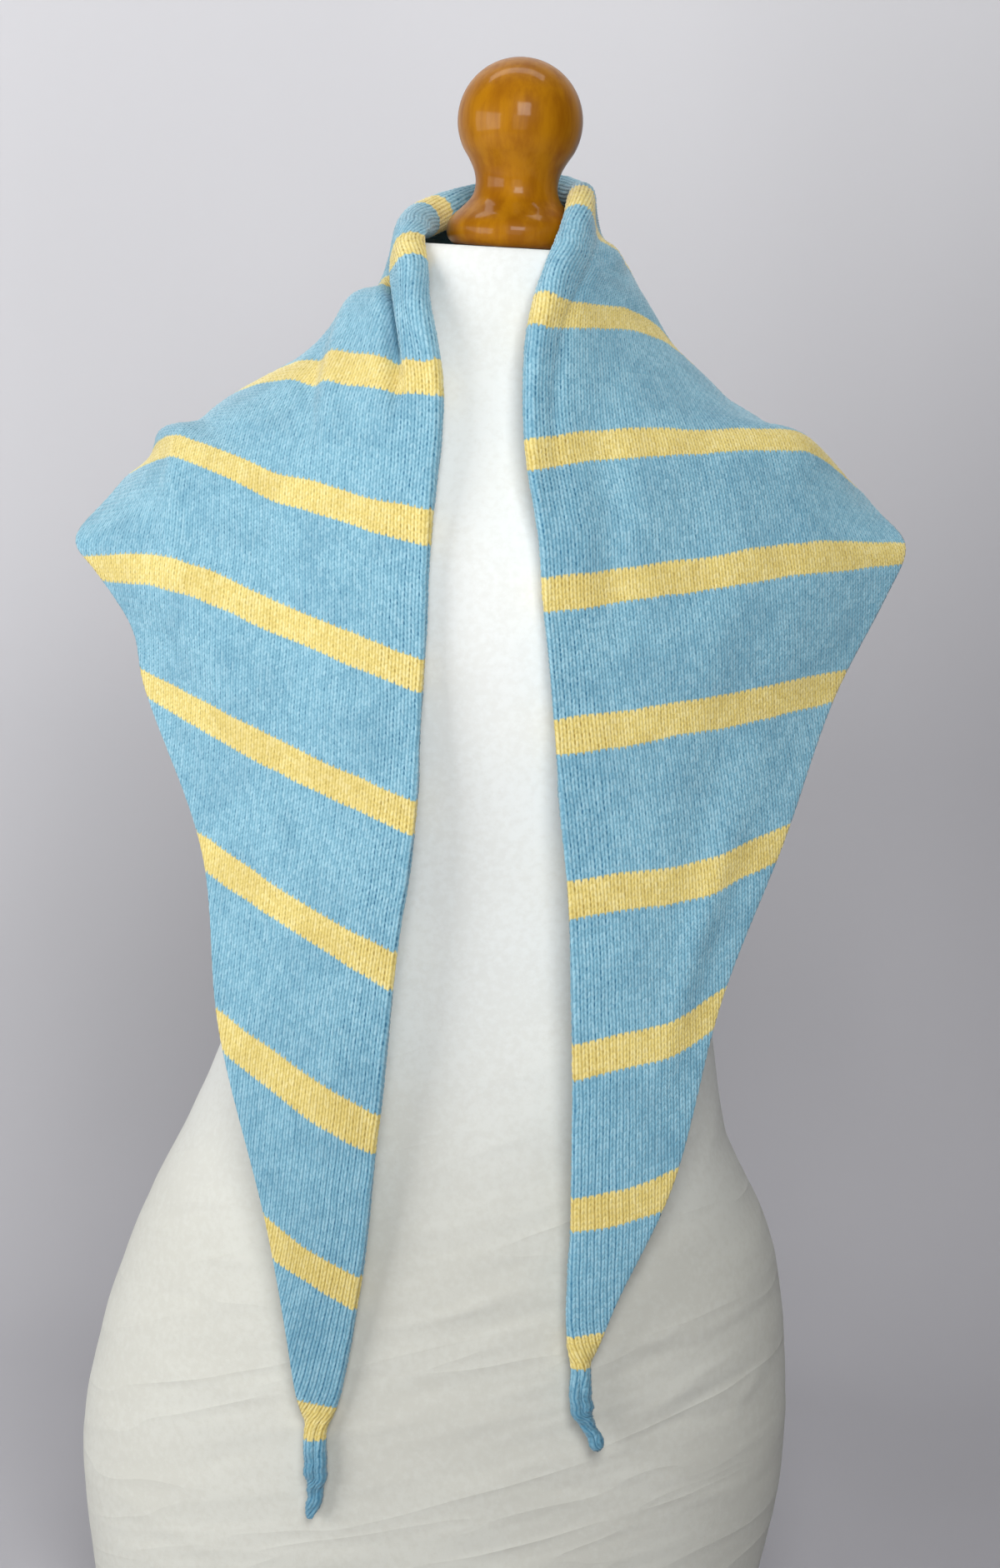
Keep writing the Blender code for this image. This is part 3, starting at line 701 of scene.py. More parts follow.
def hole(tree, across, along, column, row):
    """A soft upright slit between legs of yarn, each as open as chance has it."""
    away = (across / HOLE_HALF_WIDTH) ** 2.0 + (along / HOLE_HALF_HEIGHT) ** 2.0
    opened = ramp(tree, chance(tree, column, row), 0.0, 1.0, LEAST_OPEN, 1.0)
    return ramp(tree, away, 0.1, 1.4, 1.0, 0.0) * opened


def make_leg_group():
    """Legs of yarn in stocking stitch, from stitch coordinates (stitch, row)."""
    labels = ("Height", "Gap", "Tone", "Row", "End")
    tree, stitches, result = new_group("yarn_legs", "Stitches", labels)
    stitch, row, _ = parts(tree, stitches)
    half = abs(stitch.fraction() - 0.5)
    phase = row - half * (2.0 * LEG_RISE)
    within = phase.fraction() - 0.5
    along = abs(within)
    side = abs(half - (within * LEG_LEAN + LEG_MIDDLE))
    height = (1.0 - side**2.0 * LEG_ROUND) * (1.0 - along**2.0 * LEG_BOW)

    end = row.smaller(ROW_COUNT - row)
    ribbed = ramp(tree, end, *RIBBED_ROWS, LEAST_RIBBED, 1.0)
    middle_count, side_count = (row + 0.5).floor(), row.floor()
    middle_hole = hole(tree, half, row - middle_count, stitch.floor(), middle_count)
    side_hole = hole(tree, 0.5 - half, row - side_count - 0.5, (stitch + 0.5).floor() + 0.5, side_count)
    holes = (middle_hole * (0.85 - ribbed * 0.5)).larger(side_hole)
    # painted shade: Gap darkens the knit side's colour in the holes and between legs, rows and ribs, and
    # shapes the purl side's bars
    between_legs = ramp(tree, side, 0.12, 0.24, 0.0, 0.42)
    between_rows = ramp(tree, along, 0.38, 0.50, 0.0, 0.06)
    groove = ramp(tree, half, 0.36, 0.47, 0.0, 0.75) * ribbed
    openness = ramp(tree, stitch, *LOOSE_BAND, 1.0, BODY_OPENNESS)
    gap = holes.larger(between_legs.larger(between_rows).larger(groove)) * openness

    own_tone = chance(tree, (stitch * 2.0).floor(), phase.floor())
    streak = noise(tree, stretched(tree, stitches, STREAK_SCALE), 1.0, 2.0, 0.6)
    tone = own_tone * (1.0 - STREAK_SHARE) + streak * STREAK_SHARE
    coloured = phase + (0.5 - side * 4.0) * COLOUR_TOOTH
    for label, value in zip(labels, (height, gap, tone, coloured, end)):
        join(tree, value, result.inputs[label])


def make_heather_group():
    """Fibres of mixed colour: broad mottling and fine flecks, from object coordinates."""
    tree, place, result = new_group("heathered_fibres", "Position", ("Mottle", "Fleck"))
    join(tree, noise(tree, place, 36.0, 3.0, 0.6), result.inputs["Mottle"])
    join(tree, noise(tree, place, 900.0, 3.0, 0.7), result.inputs["Fleck"])


# ================================================================ materials
STRIPE_BLUR = 0.22          # rows over which the fuzz of one colour runs into the other
FLECK_SHARE = 0.55          # of the mixed tone; the rest is the leg's
FIBRE_RISE = 0.9            # of a leg's height
PURL_SHADE = 0.35           # how dark the painted shade in the hollows between the purl side's bars is
WARP_THREADS = 1500.0       # radians of weave for each radian round the torso
WEFT_THREADS = 9500.0       # radians of weave for each metre up it
FOLD_CLIMB = 0.3            # how steeply the slack folds climb
FOLD_RISE = 1.15            # mm


def wool_material(name, knit, purl):
    """Striped wool; the purl side shows bars of yarn in place of legs."""
    material, tree, shader = new_material(name, {
        "Roughness": 0.92, "Specular IOR Level": 0.18, "Sheen Weight": 0.35, "Sheen Roughness": 0.5,
    })
    legs = place_group(tree, "yarn_legs", put(tree, "ShaderNodeUVMap", {}, uv_map="stitches").outputs[0])
    fibres = place_group(tree, "heathered_fibres", object_place(tree))
    past = legs["Row"] - (knit.first_stripe - STRIPE_BLUR)
    turn = calc(tree, "FLOORED_MODULO", past, float(knit.pitch_rows))
    stripe_end = float(knit.stripe_rows)
    striped = ramp(tree, turn, 0.0, 2.0 * STRIPE_BLUR)
    striped *= ramp(tree, turn, stripe_end, stripe_end + 2.0 * STRIPE_BLUR, 1.0, 0.0)
    middle, deep, pale = (
        blend_colours(tree, striped, opaque(blue), opaque(yellow))
        for blue, yellow in (
            (knit.blue, knit.yellow), (knit.blue_dark_and_shade, knit.yellow_dark_and_shade), (knit.blue_pale_and_highlight, knit.yellow_pale_and_highlight),
        )
    )
    mixed = fibres["Fleck"] * FLECK_SHARE + legs["Tone"] * (1.0 - FLECK_SHARE)
    colour = middle
    # where each tint sets in, where it is full, and the share it then has
    for value, low, high, share, tint in (
        (mixed, 0.42, 0.72, 0.48, pale),
        # painted highlight: paler where a leg stands highest, as if lit on its top
        (legs["Height"], 0.70, 0.98, 0.30, pale),
        (mixed, 0.52, 0.30, 0.24, deep),
        # painted shade: darker in the last rows of each rolled point
        (legs["End"], 17.0, 9.0, 0.52, deep),
        # painted shade: darker towards each point, where less light falls on the lower fronts
        (legs["End"], 100.0, 30.0, 0.14, deep),
        (fibres["Mottle"], 0.42, 0.64, 0.17, deep),
    ):
        colour = blend_colours(tree, ramp(tree, value, low, high, 0.0, share), colour, tint)
    # painted shade: the knit side darkens in its holes and between legs, rows and ribs, the purl side in the
    # hollows between its bars
    height, shaded = (legs["Gap"], legs["Height"] * PURL_SHADE) if purl else (legs["Height"], legs["Gap"])
    tree.links.new(blend_colours(tree, shaded, colour, deep), shader.inputs["Base Color"])
    add_bump(tree, shader, height + fibres["Fleck"] * FIBRE_RISE, 0.5 * MM, 0.7)
    return material


def slack_folds(tree, place, where):
    """Height of the fine folds of slack cloth, which climb to one side; where is 1 on the slack cover."""
    across, deep, up = place
    drawn_out = put(tree, "ShaderNodeCombineXYZ", {
        "X": across * 5.0, "Y": deep * 5.0, "Z": (up - across * FOLD_CLIMB) * 30.0,
    }).outputs[0]
    off_middle = abs(noise(tree, drawn_out, 1.0, 2.0, 0.45) * 2.0 - 1.0)
    return (1.0 - off_middle) ** 4.0 * where * FOLD_RISE


def calico_material(form):
    """Plain-woven calico: fine threads, slubs, a little unevenness of tone, and painted shade with a cream
    tint towards the foot.
    """
    material, tree, shader = new_material(
        "calico_cloth", {"Roughness": 0.9, "Specular IOR Level": 0.2, "Sheen Weight": 0.1}
    )
    position = object_place(tree)
    place = parts(tree, position)
    angle = calc(tree, "ARCTAN2", place[0], place[1])
    weave = calc(tree, "SINE", angle * WARP_THREADS) * calc(tree, "SINE", place[2] * WEFT_THREADS)
    slub = noise(tree, position, 240.0, 3.0, 0.65)
    tone = slub * 0.6 + noise(tree, position, 14.0, 2.0, 0.5) * 0.4
    threads = ramp(tree, tone, 0.60, 0.40, 0.0, 0.5)
    colour = blend_colours(tree, threads, opaque(form.calico), opaque(form.thread))
    # painted shade, partly the cover's own cream tint: the cover darkens towards its foot, where the light
    # falls off; the same part gets the slack folds
    shaded_lower_part = ramp(tree, place[2], form.cream_from, form.cream_to, 0.0, 1.0)
    colour = blend_colours(tree, shaded_lower_part, colour, opaque(form.cream_and_shade), "MULTIPLY")
    tree.links.new(colour, shader.inputs["Base Color"])
    add_bump(tree, shader, (weave * 0.25 + slub) * 0.15 + slack_folds(tree, place, shaded_lower_part), MM)
    return material


def wood_material(finial):
    """Varnished wood: grain stretched up the turning, under a clear coat."""
    material, tree, shader = new_material("varnished_turning", {
        "IOR": 1.36, "Specular IOR Level": 0.16,
        "Coat IOR": 1.36, "Coat Weight": 0.36, "Coat Roughness": 0.09,
    })
    upright = stretched(tree, object_place(tree), (1.0, 1.0, 0.16))
    grain = noise(tree, upright, 95.0, 6.0, 0.62)
    mixed = grain * 0.6 + noise(tree, upright, 26.0, 3.0, 0.5) * 0.4
    share = ramp(tree, mixed, 0.40, 0.62)
    colour = blend_colours(tree, share, opaque(finial.light_wood), opaque(finial.dark_wood))
    tree.links.new(colour, shader.inputs["Base Color"])
    join(tree, ramp(tree, grain, 0.3, 0.7, 0.34, 0.46), shader.inputs["Roughness"])
    add_bump(tree, shader, grain, 0.2 * MM, 0.25)
    return material


def stage_material(stage):
    """Matt pale cloth with painted shade of broad upright folds and painted shade towards its foot and right,
    clear from behind so that it hides nothing.
    """
    material, tree, shader = new_material("pale_stage", {"Roughness": 0.95})
    position = object_place(tree)
    # painted shade of broad upright folds in the backdrop cloth: bands up to 5 percent darker
    broad = noise(tree, stretched(tree, position, (1.0, 1.0, 0.22)), 2.6, 2.0, 0.5)
    darker = tuple(0.95 * value for value in stage.pale)
    colour = blend_colours(tree, ramp(tree, broad, 0.35, 0.65), opaque(stage.pale), opaque(darker))
    across, _, up = parts(tree, position)
    # painted shade: darker towards the foot and the right, where the light falls off
    low = ramp(tree, across * 0.6 - up, -1.0, 0.1, 0.0, 0.9)
    colour = blend_colours(tree, low, colour, opaque(stage.backdrop_shade), "MULTIPLY")
    tree.links.new(colour, shader.inputs["Base Color"])
    behind = put(tree, "ShaderNodeNewGeometry", {}).outputs["Backfacing"]
    clear = put(tree, "ShaderNodeBsdfTransparent", {}).outputs[0]
    either = tree.nodes.new("ShaderNodeMixShader")
    for socket, source in zip(either.inputs, (behind, shader.outputs[0], clear)):
        tree.links.new(source, socket)
    tree.links.new(either.outputs[0], tree.nodes["Material Output"].inputs["Surface"])
    return material


# ================================================================ dress form and finial
def torso_rings(form):
    """The torso's rings of points, base to neck, millimetres."""
    knots = [section.height for section in TORSO]
    rows = [section[1:] for section in TORSO]
    count = int(CREASED_TO / (form.ring_gap / MM))
    creased_part = np.linspace(0.0, CREASED_TO, count, endpoint=False)
    smooth_part = np.linspace(CREASED_TO, TORSO[-2].height, count // SPARSER)
    heights = np.concatenate([creased_part, smooth_part, [NECK_TOP - NECK_LIP, NECK_TOP]])
    angles = np.linspace(0.0, 2.0 * math.pi, form.sides, endpoint=False)
    power = 2.0 / FORM_SQUARENESS
    across = np.sign(np.cos(angles)) * np.abs(np.cos(angles)) ** power
    deep = np.sign(np.sin(angles)) * np.abs(np.sin(angles)) ** power
    rings = []
    for height, (half_width, front, back, shift) in zip(heights, spline(knots, rows, heights)):
        depth = np.where(np.sin(angles) > 0, back, front)
        ring = [shift + half_width * across, depth * deep, np.full(len(angles), height)]
        rings.append(np.stack(ring, axis=-1))
    return creased(np.array(rings))


def creased(rings):
    """The torso's rings with the cover's slight creases, which fade out towards the top and the foot."""
    x, y, z = rings[:, :, 0], rings[:, :, 1], rings[:, :, 2]
    total = np.zeros(x.shape)
    for crease in CREASES:
        run_x, run_z = crease.x_b - crease.x_a, crease.z_b - crease.z_a
        here_x, here_z = x - crease.x_a, z - crease.z_a
        share = np.clip((here_x * run_x + here_z * run_z) / (run_x**2 + run_z**2), 0.0, 1.0)
        bend = CREASE_BEND * np.sin(2.0 * math.pi * share)
        distance = np.hypot(here_x - share * run_x, here_z - share * run_z + bend)
        fade = np.sin(math.pi * np.clip(share, CREASE_STUB, 1.0 - CREASE_STUB))
        total += crease.height * fade * np.exp(-((distance / crease.width) ** 2))
    total *= y < 0.0
    off_back = np.abs(np.arange(x.shape[1]) / x.shape[1] - SMOOTH_BACK) / SMOOTH_BACK_WIDTH
    ripple = unevenness(*x.shape, COVER_RIPPLE) * np.clip(off_back, 0.0, 1.0)
    total += CREASE_RIPPLE * ripple * smooth_step(z, *RIPPLE_FADE)
    total *= smooth_step(z, 0.0, FOOT_FADE) * smooth_step(z, NECK_TOP, NECK_TOP - NECK_FADE)
    outward = unit(np.stack([x, y, np.zeros(x.shape)], axis=-1))
    return rings + outward * total[:, :, None]


def ring_faces(ring_count, sides):
    """Faces between stacked rings, with one cap at each end."""
    faces = []
    for ring in range(ring_count - 1):
        low, high = ring * sides, (ring + 1) * sides
        for side in range(sides):
            after = (side + 1) % sides
            faces.append((low + side, low + after, high + after, high + side))
    faces.append(tuple(reversed(range(sides))))
    faces.append(tuple(range((ring_count - 1) * sides, ring_count * sides)))
    return faces


def build_form(form, collection):
    """The calico torso, finer than the CAD's and with the same shape."""
    rings = torso_rings(form)
    faces = ring_faces(len(rings), form.sides)
    item = add_piece("calico_torso", rings.reshape(-1, 3), faces, [calico_material(form)], collection)
    item.data.polygons[len(faces) - 2].use_smooth = False
    item.data.polygons[len(faces) - 1].use_smooth = False
    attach(item, "root")
    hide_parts("form_torso")


def finial_outline():
    """Radius and height of the finial from the ball's top to its foot, millimetres."""
    turns = np.radians(np.linspace(BALL_FIRST_ANGLE, BALL_LAST_ANGLE, BALL_RINGS))
    ball = np.stack([BALL_RADIUS * np.sin(turns), BALL_HEIGHT + BALL_RADIUS * np.cos(turns)], axis=-1)
    stem = np.array([(turning.radius, turning.height) for turning in FINIAL_STEM])
    stem = np.concatenate([ball[-1:], stem])
    travelled = lengths_along(stem)
    stem = spline(travelled, stem, np.linspace(0.0, travelled[-1], STEM_RINGS))
    return np.concatenate([ball, stem[1:]])


def build_finial(finial, collection):
    """The turned finial as one closed turning."""
    outline = finial_outline()[::-1]
    angles = np.linspace(0.0, 2.0 * math.pi, finial.sides, endpoint=False)
    circle = np.stack([np.cos(angles), np.sin(angles), np.zeros(len(angles))], axis=-1)
    rings = [radius * circle + (0.0, 0.0, NECK_TOP + height) for radius, height in outline]
    top = [[0.0, 0.0, NECK_TOP + BALL_HEIGHT + BALL_RADIUS]]
    faces = ring_faces(len(rings), finial.sides)[:-1]
    crown = len(rings) * finial.sides
    last = crown - finial.sides
    for side in range(finial.sides):
        faces.append((last + side, last + (side + 1) % finial.sides, crown))
    vertices = np.concatenate(rings + [top])
    item = add_piece("turned_finial", vertices, faces, [wood_material(finial)], collection)
    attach(item, "root")
    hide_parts("finial")


# ================================================================ the kerchief's smooth surface
def form_surface():
    """The CAD surface that the cloth rests on: the torso and the finial together."""
    bm = bmesh.new()
    for node in ("form_torso", "finial"):
        bm.from_mesh(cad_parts[node].data)
    form = BVHTree.FromBMesh(bm)
    bm.free()
    return form


def pushed_out(point, form):
    """How far, and which way, a point has to move to stand REST_GAP off the form."""
    place, normal, _, _ = form.find_nearest(Vector(point) * MM)
    away = (Vector(point) * MM - place).dot(normal) / MM
    return np.array(normal) * max(0.0, REST_GAP - away)


def clear_of_form(grid, form, passes):
    """Move a grid of points off the form, so that the middles of its edges and diagonals clear it too."""
    rows, columns = grid.shape[:2]
    for _ in range(passes):
        moves = np.zeros_like(grid)
        for row in range(rows):
            for column in range(columns):
                below, beside = min(row + 1, rows - 1), min(column + 1, columns - 1)
                for one, other in (((row, column), (row, column)), ((row, column), (below, beside))):
                    push = pushed_out((grid[one] + grid[other]) / 2.0, form)
                    for point in (one, other):
                        if np.linalg.norm(push) > np.linalg.norm(moves[point]):
                            moves[point] = push
        grid = grid + moves
    return grid


def relaxed(grid):
    """The grid with each inner point drawn a little towards its neighbours along the cloth."""
    result = grid.copy()
    result[1:-1] += RELAXING * (grid[2:] + grid[:-2] - 2.0 * grid[1:-1])
    return result


def fold_heights(alongs, shares, reaches):
    """Sum of the soft ridges and troughs at each place on the cloth."""
    total = np.zeros((len(alongs), len(shares)))
    along = np.broadcast_to(alongs[:, None], total.shape)
    across = shares[None, :] * reaches[:, None]
    for fold in FOLDS:
        run_along = fold.along_b - fold.along_a
        run_across = (fold.across_b - fold.across_a) * reaches[:, None]
        here_along, here_across = along - fold.along_a, across - fold.across_a * reaches[:, None]
        share = (here_along * run_along + here_across * run_across) / (run_along**2 + run_across**2)
        share = np.clip(share, 0.0, 1.0)
        distance = np.hypot(here_along - share * run_along, here_across - share * run_across)
        reaches_selvedge = fold.across_b == 1.0
        fade = share if reaches_selvedge else np.sin(math.pi * share)
        total += fold.height * fade * np.exp(-((distance / fold.width) ** 2))
    return total


def surface_normals(grid):
    """Unit normals of a grid of points [along][across], facing away from the form."""
    return unit(np.cross(np.gradient(grid, axis=0), np.gradient(grid, axis=1)))


def panel_grid(alongs):
    """The cloth between the edge roll and the selvedge, [along][across]."""
    shares = np.linspace(0.0, 1.0, ACROSS_STEPS + 1) ** ACROSS_GROWTH
    knots = [course.along for course in COURSES]
    rows = carried_on(knots, [np.ravel(course[1:]) for course in COURSES], alongs)
    grid, reaches = [], []
    for controls in rows.reshape(len(alongs), -1, 3):
        chords = lengths_along(controls)
        fine = spline(chords, controls, np.linspace(0.0, chords[-1], COURSE_SAMPLES))
        lengths = lengths_along(fine)
        grid.append(spline(lengths, fine, shares * lengths[-1]))
        reaches.append(lengths[-1])
    grid = np.array(grid)
    heights = fold_heights(np.asarray(alongs), shares, np.array(reaches))
    return grid + surface_normals(grid) * heights[:, :, None]


def edge_curl(alongs, grid):
    """Rows of the curled long edge, from its hidden end round to where the cloth leaves it."""
    rows = spline([curl.along for curl in EDGE_CURL], [curl[1:] for curl in EDGE_CURL], alongs)
    down = np.gradient(grid[:, 0], axis=0)
    curls = []
    for index, (radius, sweep, tail) in enumerate(rows):
        normal = np.cross(down[index], grid[index, 1] - grid[index, 0])
        normal /= np.linalg.norm(normal)
        out = np.cross(normal, down[index])
        out /= np.linalg.norm(out)
        centre = grid[index, 0] - normal * radius
        turn = math.radians(sweep)
        end = centre + radius * (math.cos(turn) * normal - math.sin(turn) * out)
        points = [end + (-math.sin(turn) * normal - math.cos(turn) * out) * tail]
        for step in range(CURL_STEPS, 0, -1):
            angle = turn * step / CURL_STEPS
            points.append(centre + radius * (math.cos(angle) * normal - math.sin(angle) * out))
        curls.append(points)
    return np.array(curls)


def roll_point(sheet, path, from_tip):
    """Blend the rows near a tip into a rolled point; from_tip is each row's distance from the tip."""
    places = np.array([point[:3] for point in path], float)
    knots = POINT_START - lengths_along(places) * POINT_START / lengths_along(places)[-1]
    line = np.column_stack([places, [point.radius for point in path]])[::-1]
    rows = spline(knots[::-1], line, from_tip)
    down = np.gradient(rows[:, :3], axis=0)
    straight = down[from_tip < ROLL_STRAIGHT].mean(axis=0)
    normal = np.array([0.0, -1.0, 0.0])
    for index in np.flatnonzero(from_tip < ROLL_REACH):
        tip = from_tip[index]
        share = lengths_along(sheet[index])
        turn = (2.0 * share / share[-1] - 1.0) * (math.pi - POINT_GAP)
        travel = down[index] if np.linalg.norm(down[index]) > TINY else straight
        out = np.cross(normal, travel)
        out /= np.linalg.norm(out)
        rounding = math.sqrt(max(0.0, 1.0 - max(0.0, 1.0 - tip / ROLL_END) ** 2))
        radius = rows[index, 3] - ROLL_SLIMMER * smooth_step(tip, *SLIMMER_FROM)
        radius = radius * max(rounding, LEAST_ROUNDING)
        short_wave = np.sin(tip / LUMP_LENGTHS[0] + LUMP_SWING * np.sin(turn))
        lumps = short_wave * np.cos(tip / LUMP_LENGTHS[1] + turn)
        radius = radius * (1.0 + ROLL_LUMPS * lumps * smooth_step(tip, *LUMPS_FADE))
        dent = 1.0 - ROLL_DENT * np.exp(-(((turn - DENT_TURN) / DENT_WIDTH) ** 2)) * rounding
        ring = np.cos(turn)[:, None] * normal + np.sin(turn)[:, None] * out
        tube = rows[index, :3] + ring * (radius * dent)[:, None]
        flat = smooth_step(tip, *ROLL_OPENS)
        sheet[index] = tube + (sheet[index] - tube) * flat
    return sheet


def cloth_surface():
    """The whole kerchief's middle surface, [along][across], and its places along the long edge."""
    point = np.arange(0.0, POINT_START + FINE_PAST_POINT, POINT_STEP)
    between = np.linspace(point[-1], LONG_EDGE - point[-1], int(LONG_EDGE / BASE_STEP) - ROWS_SPARED)
    alongs = np.concatenate([point, between[1:-1], LONG_EDGE - point[::-1]])
    panel = panel_grid(alongs)
    sheet = np.concatenate([edge_curl(alongs, panel), panel], axis=1)
    sheet = roll_point(sheet, RIGHT_POINT, alongs)
    sheet = roll_point(sheet, LEFT_POINT, LONG_EDGE - alongs)
    form = form_surface()
    sheet = clear_of_form(sheet, form, passes=3)
    sheet = clear_of_form(relaxed(sheet), form, passes=2)
    return alongs, sheet


# ================================================================ the knitted surface
class KnitGrid:
    """Every mesh point of the knitted side, line by line along and column by column across."""

    def __init__(self, knit):
        self.row_height = knit.row_height / MM
        rows = KNIT_PIECES[-1].last_row
        self.lines = rows * LINES_PER_ROW + 1
        alongs, sheet = cloth_surface()
        margin = int(math.ceil(LEG_RISE)) * LINES_PER_ROW + 1
        steps = np.arange(self.lines + margin)
        places = (steps / LINES_PER_ROW + FIRST_ROW_SHIFT) * self.row_height
        smooth = spline(alongs, sheet.reshape(len(alongs), -1), places).reshape(len(places), -1, 3)
        normals = surface_normals(smooth)
        self.stitch_places(knit, smooth)
        self.read_surface(smooth, normals)
        self.raise_legs(knit)

    def stitch_places(self, knit, smooth):
        """Distance of each column from the hidden edge, and each line's whole width."""
        self.lengths = np.array([lengths_along(row) for row in smooth])
        self.widths = self.lengths[:, -1]
        edge, body = knit.edge_stitch / MM, knit.body_stitch / MM
        band = edge * knit.edge_stitches
        count = int(knit.edge_stitches + (self.widths.max() - band) / body + 2) * COLUMNS_PER_STITCH
        self.stitches = np.arange(count) / COLUMNS_PER_STITCH
        self.band = knit.edge_stitches
        over = np.maximum(self.stitches - self.band, 0.0)
        self.across = np.minimum(self.stitches, self.band) * edge + over * body
        self.edge, self.body = edge, body

    def stitch_at(self, distance):
        """Stitch coordinate at a distance from the hidden edge."""
        band = self.band * self.edge
        return np.where(distance < band, distance / self.edge, self.band + (distance - band) / self.body)

    def read_surface(self, smooth, normals):
        """Points and normals at every line and column, with the uneven run of hand knitting."""
        lines, columns = len(smooth), len(self.across)
        sway = unevenness(lines, columns, STITCH_SWAY)
        both = np.concatenate([smooth, normals], axis=2)
        table = np.empty((lines, columns, 6))
        for line in range(lines):
            room = np.minimum(self.across, self.widths[line] - self.across)
            fade = np.clip(room / SWAY_FADE, 0.0, 1.0)
            table[line] = spline(self.lengths[line], both[line], self.across + sway[line] * fade)
        shift = np.abs(2.0 * (self.stitches % 1.0) - 1.0) * LEG_RISE * LINES_PER_ROW
        lag = unevenness(self.lines, columns, ROW_LAG) + self.pulled_lines()
        index = np.arange(self.lines)[:, None] + shift[None, :] + lag
        index = np.clip(index, 0.0, lines - 1.001)
        low = index.astype(int)
        part = (index - low)[:, :, None]
        column = np.broadcast_to(np.arange(columns), low.shape)
        mixed = table[low, column] * (1.0 - part) + table[low + 1, column] * part
        hem = both[:, -1]
        hem_here = hem[low] * (1.0 - part) + hem[low + 1] * part
        width = self.widths[low] * (1.0 - part[:, :, 0]) + self.widths[low + 1] * part[:, :, 0]
        beyond = self.across[None, :] >= width - SELVEDGE_CATCH
        beyond[:, -1] = True
        self.last = np.argmax(beyond, axis=1)
        at_hem = column >= self.last[:, None]
        mixed = np.where(at_hem[:, :, None], hem_here, mixed)
        self.points = mixed[:, :, :3]
        self.normals = unit(mixed[:, :, 3:])
        stitch = np.where(at_hem, self.stitch_at(width), self.stitches[None, :])
        row = np.arange(self.lines)[:, None] / LINES_PER_ROW + (shift / LINES_PER_ROW)[None, :]
        self.coordinates = np.stack([stitch, np.broadcast_to(row, stitch.shape)], axis=-1)
        self.room = width - self.across[None, :]
        self.from_tip = np.minimum(index, lines - 1 - index) * self.row_height / LINES_PER_ROW

    def pulled_lines(self):
        """Lines by which the rows are pulled askew at each line and column."""
        along = (np.arange(self.lines) * self.row_height / LINES_PER_ROW)[:, None]
        total = np.zeros((self.lines, len(self.across)))
        for pull in PULLS:
            near_along = (along - pull.along) / pull.reach_along
            near_across = (self.across[None, :] - pull.across) / pull.reach_across
            total += pull.rows * LINES_PER_ROW * np.exp(-(near_along**2) - near_across**2)
        return total

    def raise_legs(self, knit):
        """How far each point stands above the cloth's middle, and how thick the cloth is there."""
        columns = len(self.stitches)
        line, column = np.arange(self.lines)[:, None], np.arange(columns)[None, :]
        shape = LEG_SHAPE[line % LINES_PER_ROW, column % COLUMNS_PER_STITCH]
        rows = self.lines // LINES_PER_ROW + 1
        legs = np.random.default_rng(LEG_SEED).uniform(-1.0, 1.0, (rows, columns // COLUMNS_PER_LEG + 1))
        uneven = legs[line // LINES_PER_ROW, column // COLUMNS_PER_LEG]
        rise = knit.relief / MM * shape * (1.0 + LEG_UNEVEN * uneven)
        loose = unevenness(self.lines, columns, LOOSE_CLOTH)
        edge_fade = np.clip(self.room / EDGE_THINNING, LEAST_RELIEF, 1.0)
        thin = np.clip(self.from_tip / TIP_THINNING, LEAST_THICKNESS, 1.0)
        wall = knit.wall / MM * thin
        lift = wall * WALL_IN_FRONT + (rise * edge_fade + loose * edge_fade) * thin
        self.front = self.points + self.normals * lift[:, :, None]
        self.back = self.points - self.normals * (wall * (1.0 - WALL_IN_FRONT))[:, :, None]

    def flat_area(self, first_line, last_line):
        """Area of the cut between two lines, square metres."""
        widths = self.widths[first_line:last_line + 1]
        return float(np.sum((widths[1:] + widths[:-1]) / 2.0) * self.row_height / LINES_PER_ROW * MM * MM)


def strip_between(front, front_places, back, back_places):
    """Triangles that close the wall between a fine line of points and a coarse one."""
    faces = []
    one, other = 0, 0
    while one < len(front) - 1 or other < len(back) - 1:
        step_front = other == len(back) - 1 or (
            one < len(front) - 1 and front_places[one + 1] <= back_places[other + 1]
        )
        if step_front:
            faces.append((front[one], front[one + 1], back[other]))
            one += 1
        else:
            faces.append((front[one], back[other + 1], back[other]))
            other += 1
    return faces


def grid_faces(offsets, last, flip):
    """Quads and triangles between successive lines whose columns stop at the selvedge."""
    faces = []
    for line in range(len(last) - 1):
        here, there = last[line], last[line + 1]
        columns = np.arange(max(here, there))
        a = offsets[line] + np.minimum(columns, here)
        b = offsets[line] + np.minimum(columns + 1, here)
        c = offsets[line + 1] + np.minimum(columns + 1, there)
        d = offsets[line + 1] + np.minimum(columns, there)
        whole = (a != b) & (c != d)
        quads = np.stack([a, d, c, b], axis=-1)[whole]
        one_left = np.stack([a, d, c], axis=-1)[(a == b) & (c != d)]
        one_right = np.stack([a, d, b], axis=-1)[(a != b) & (c == d)]
        for group in (quads, one_left, one_right):
            faces += group[:, ::-1].tolist() if flip else group.tolist()
    return faces


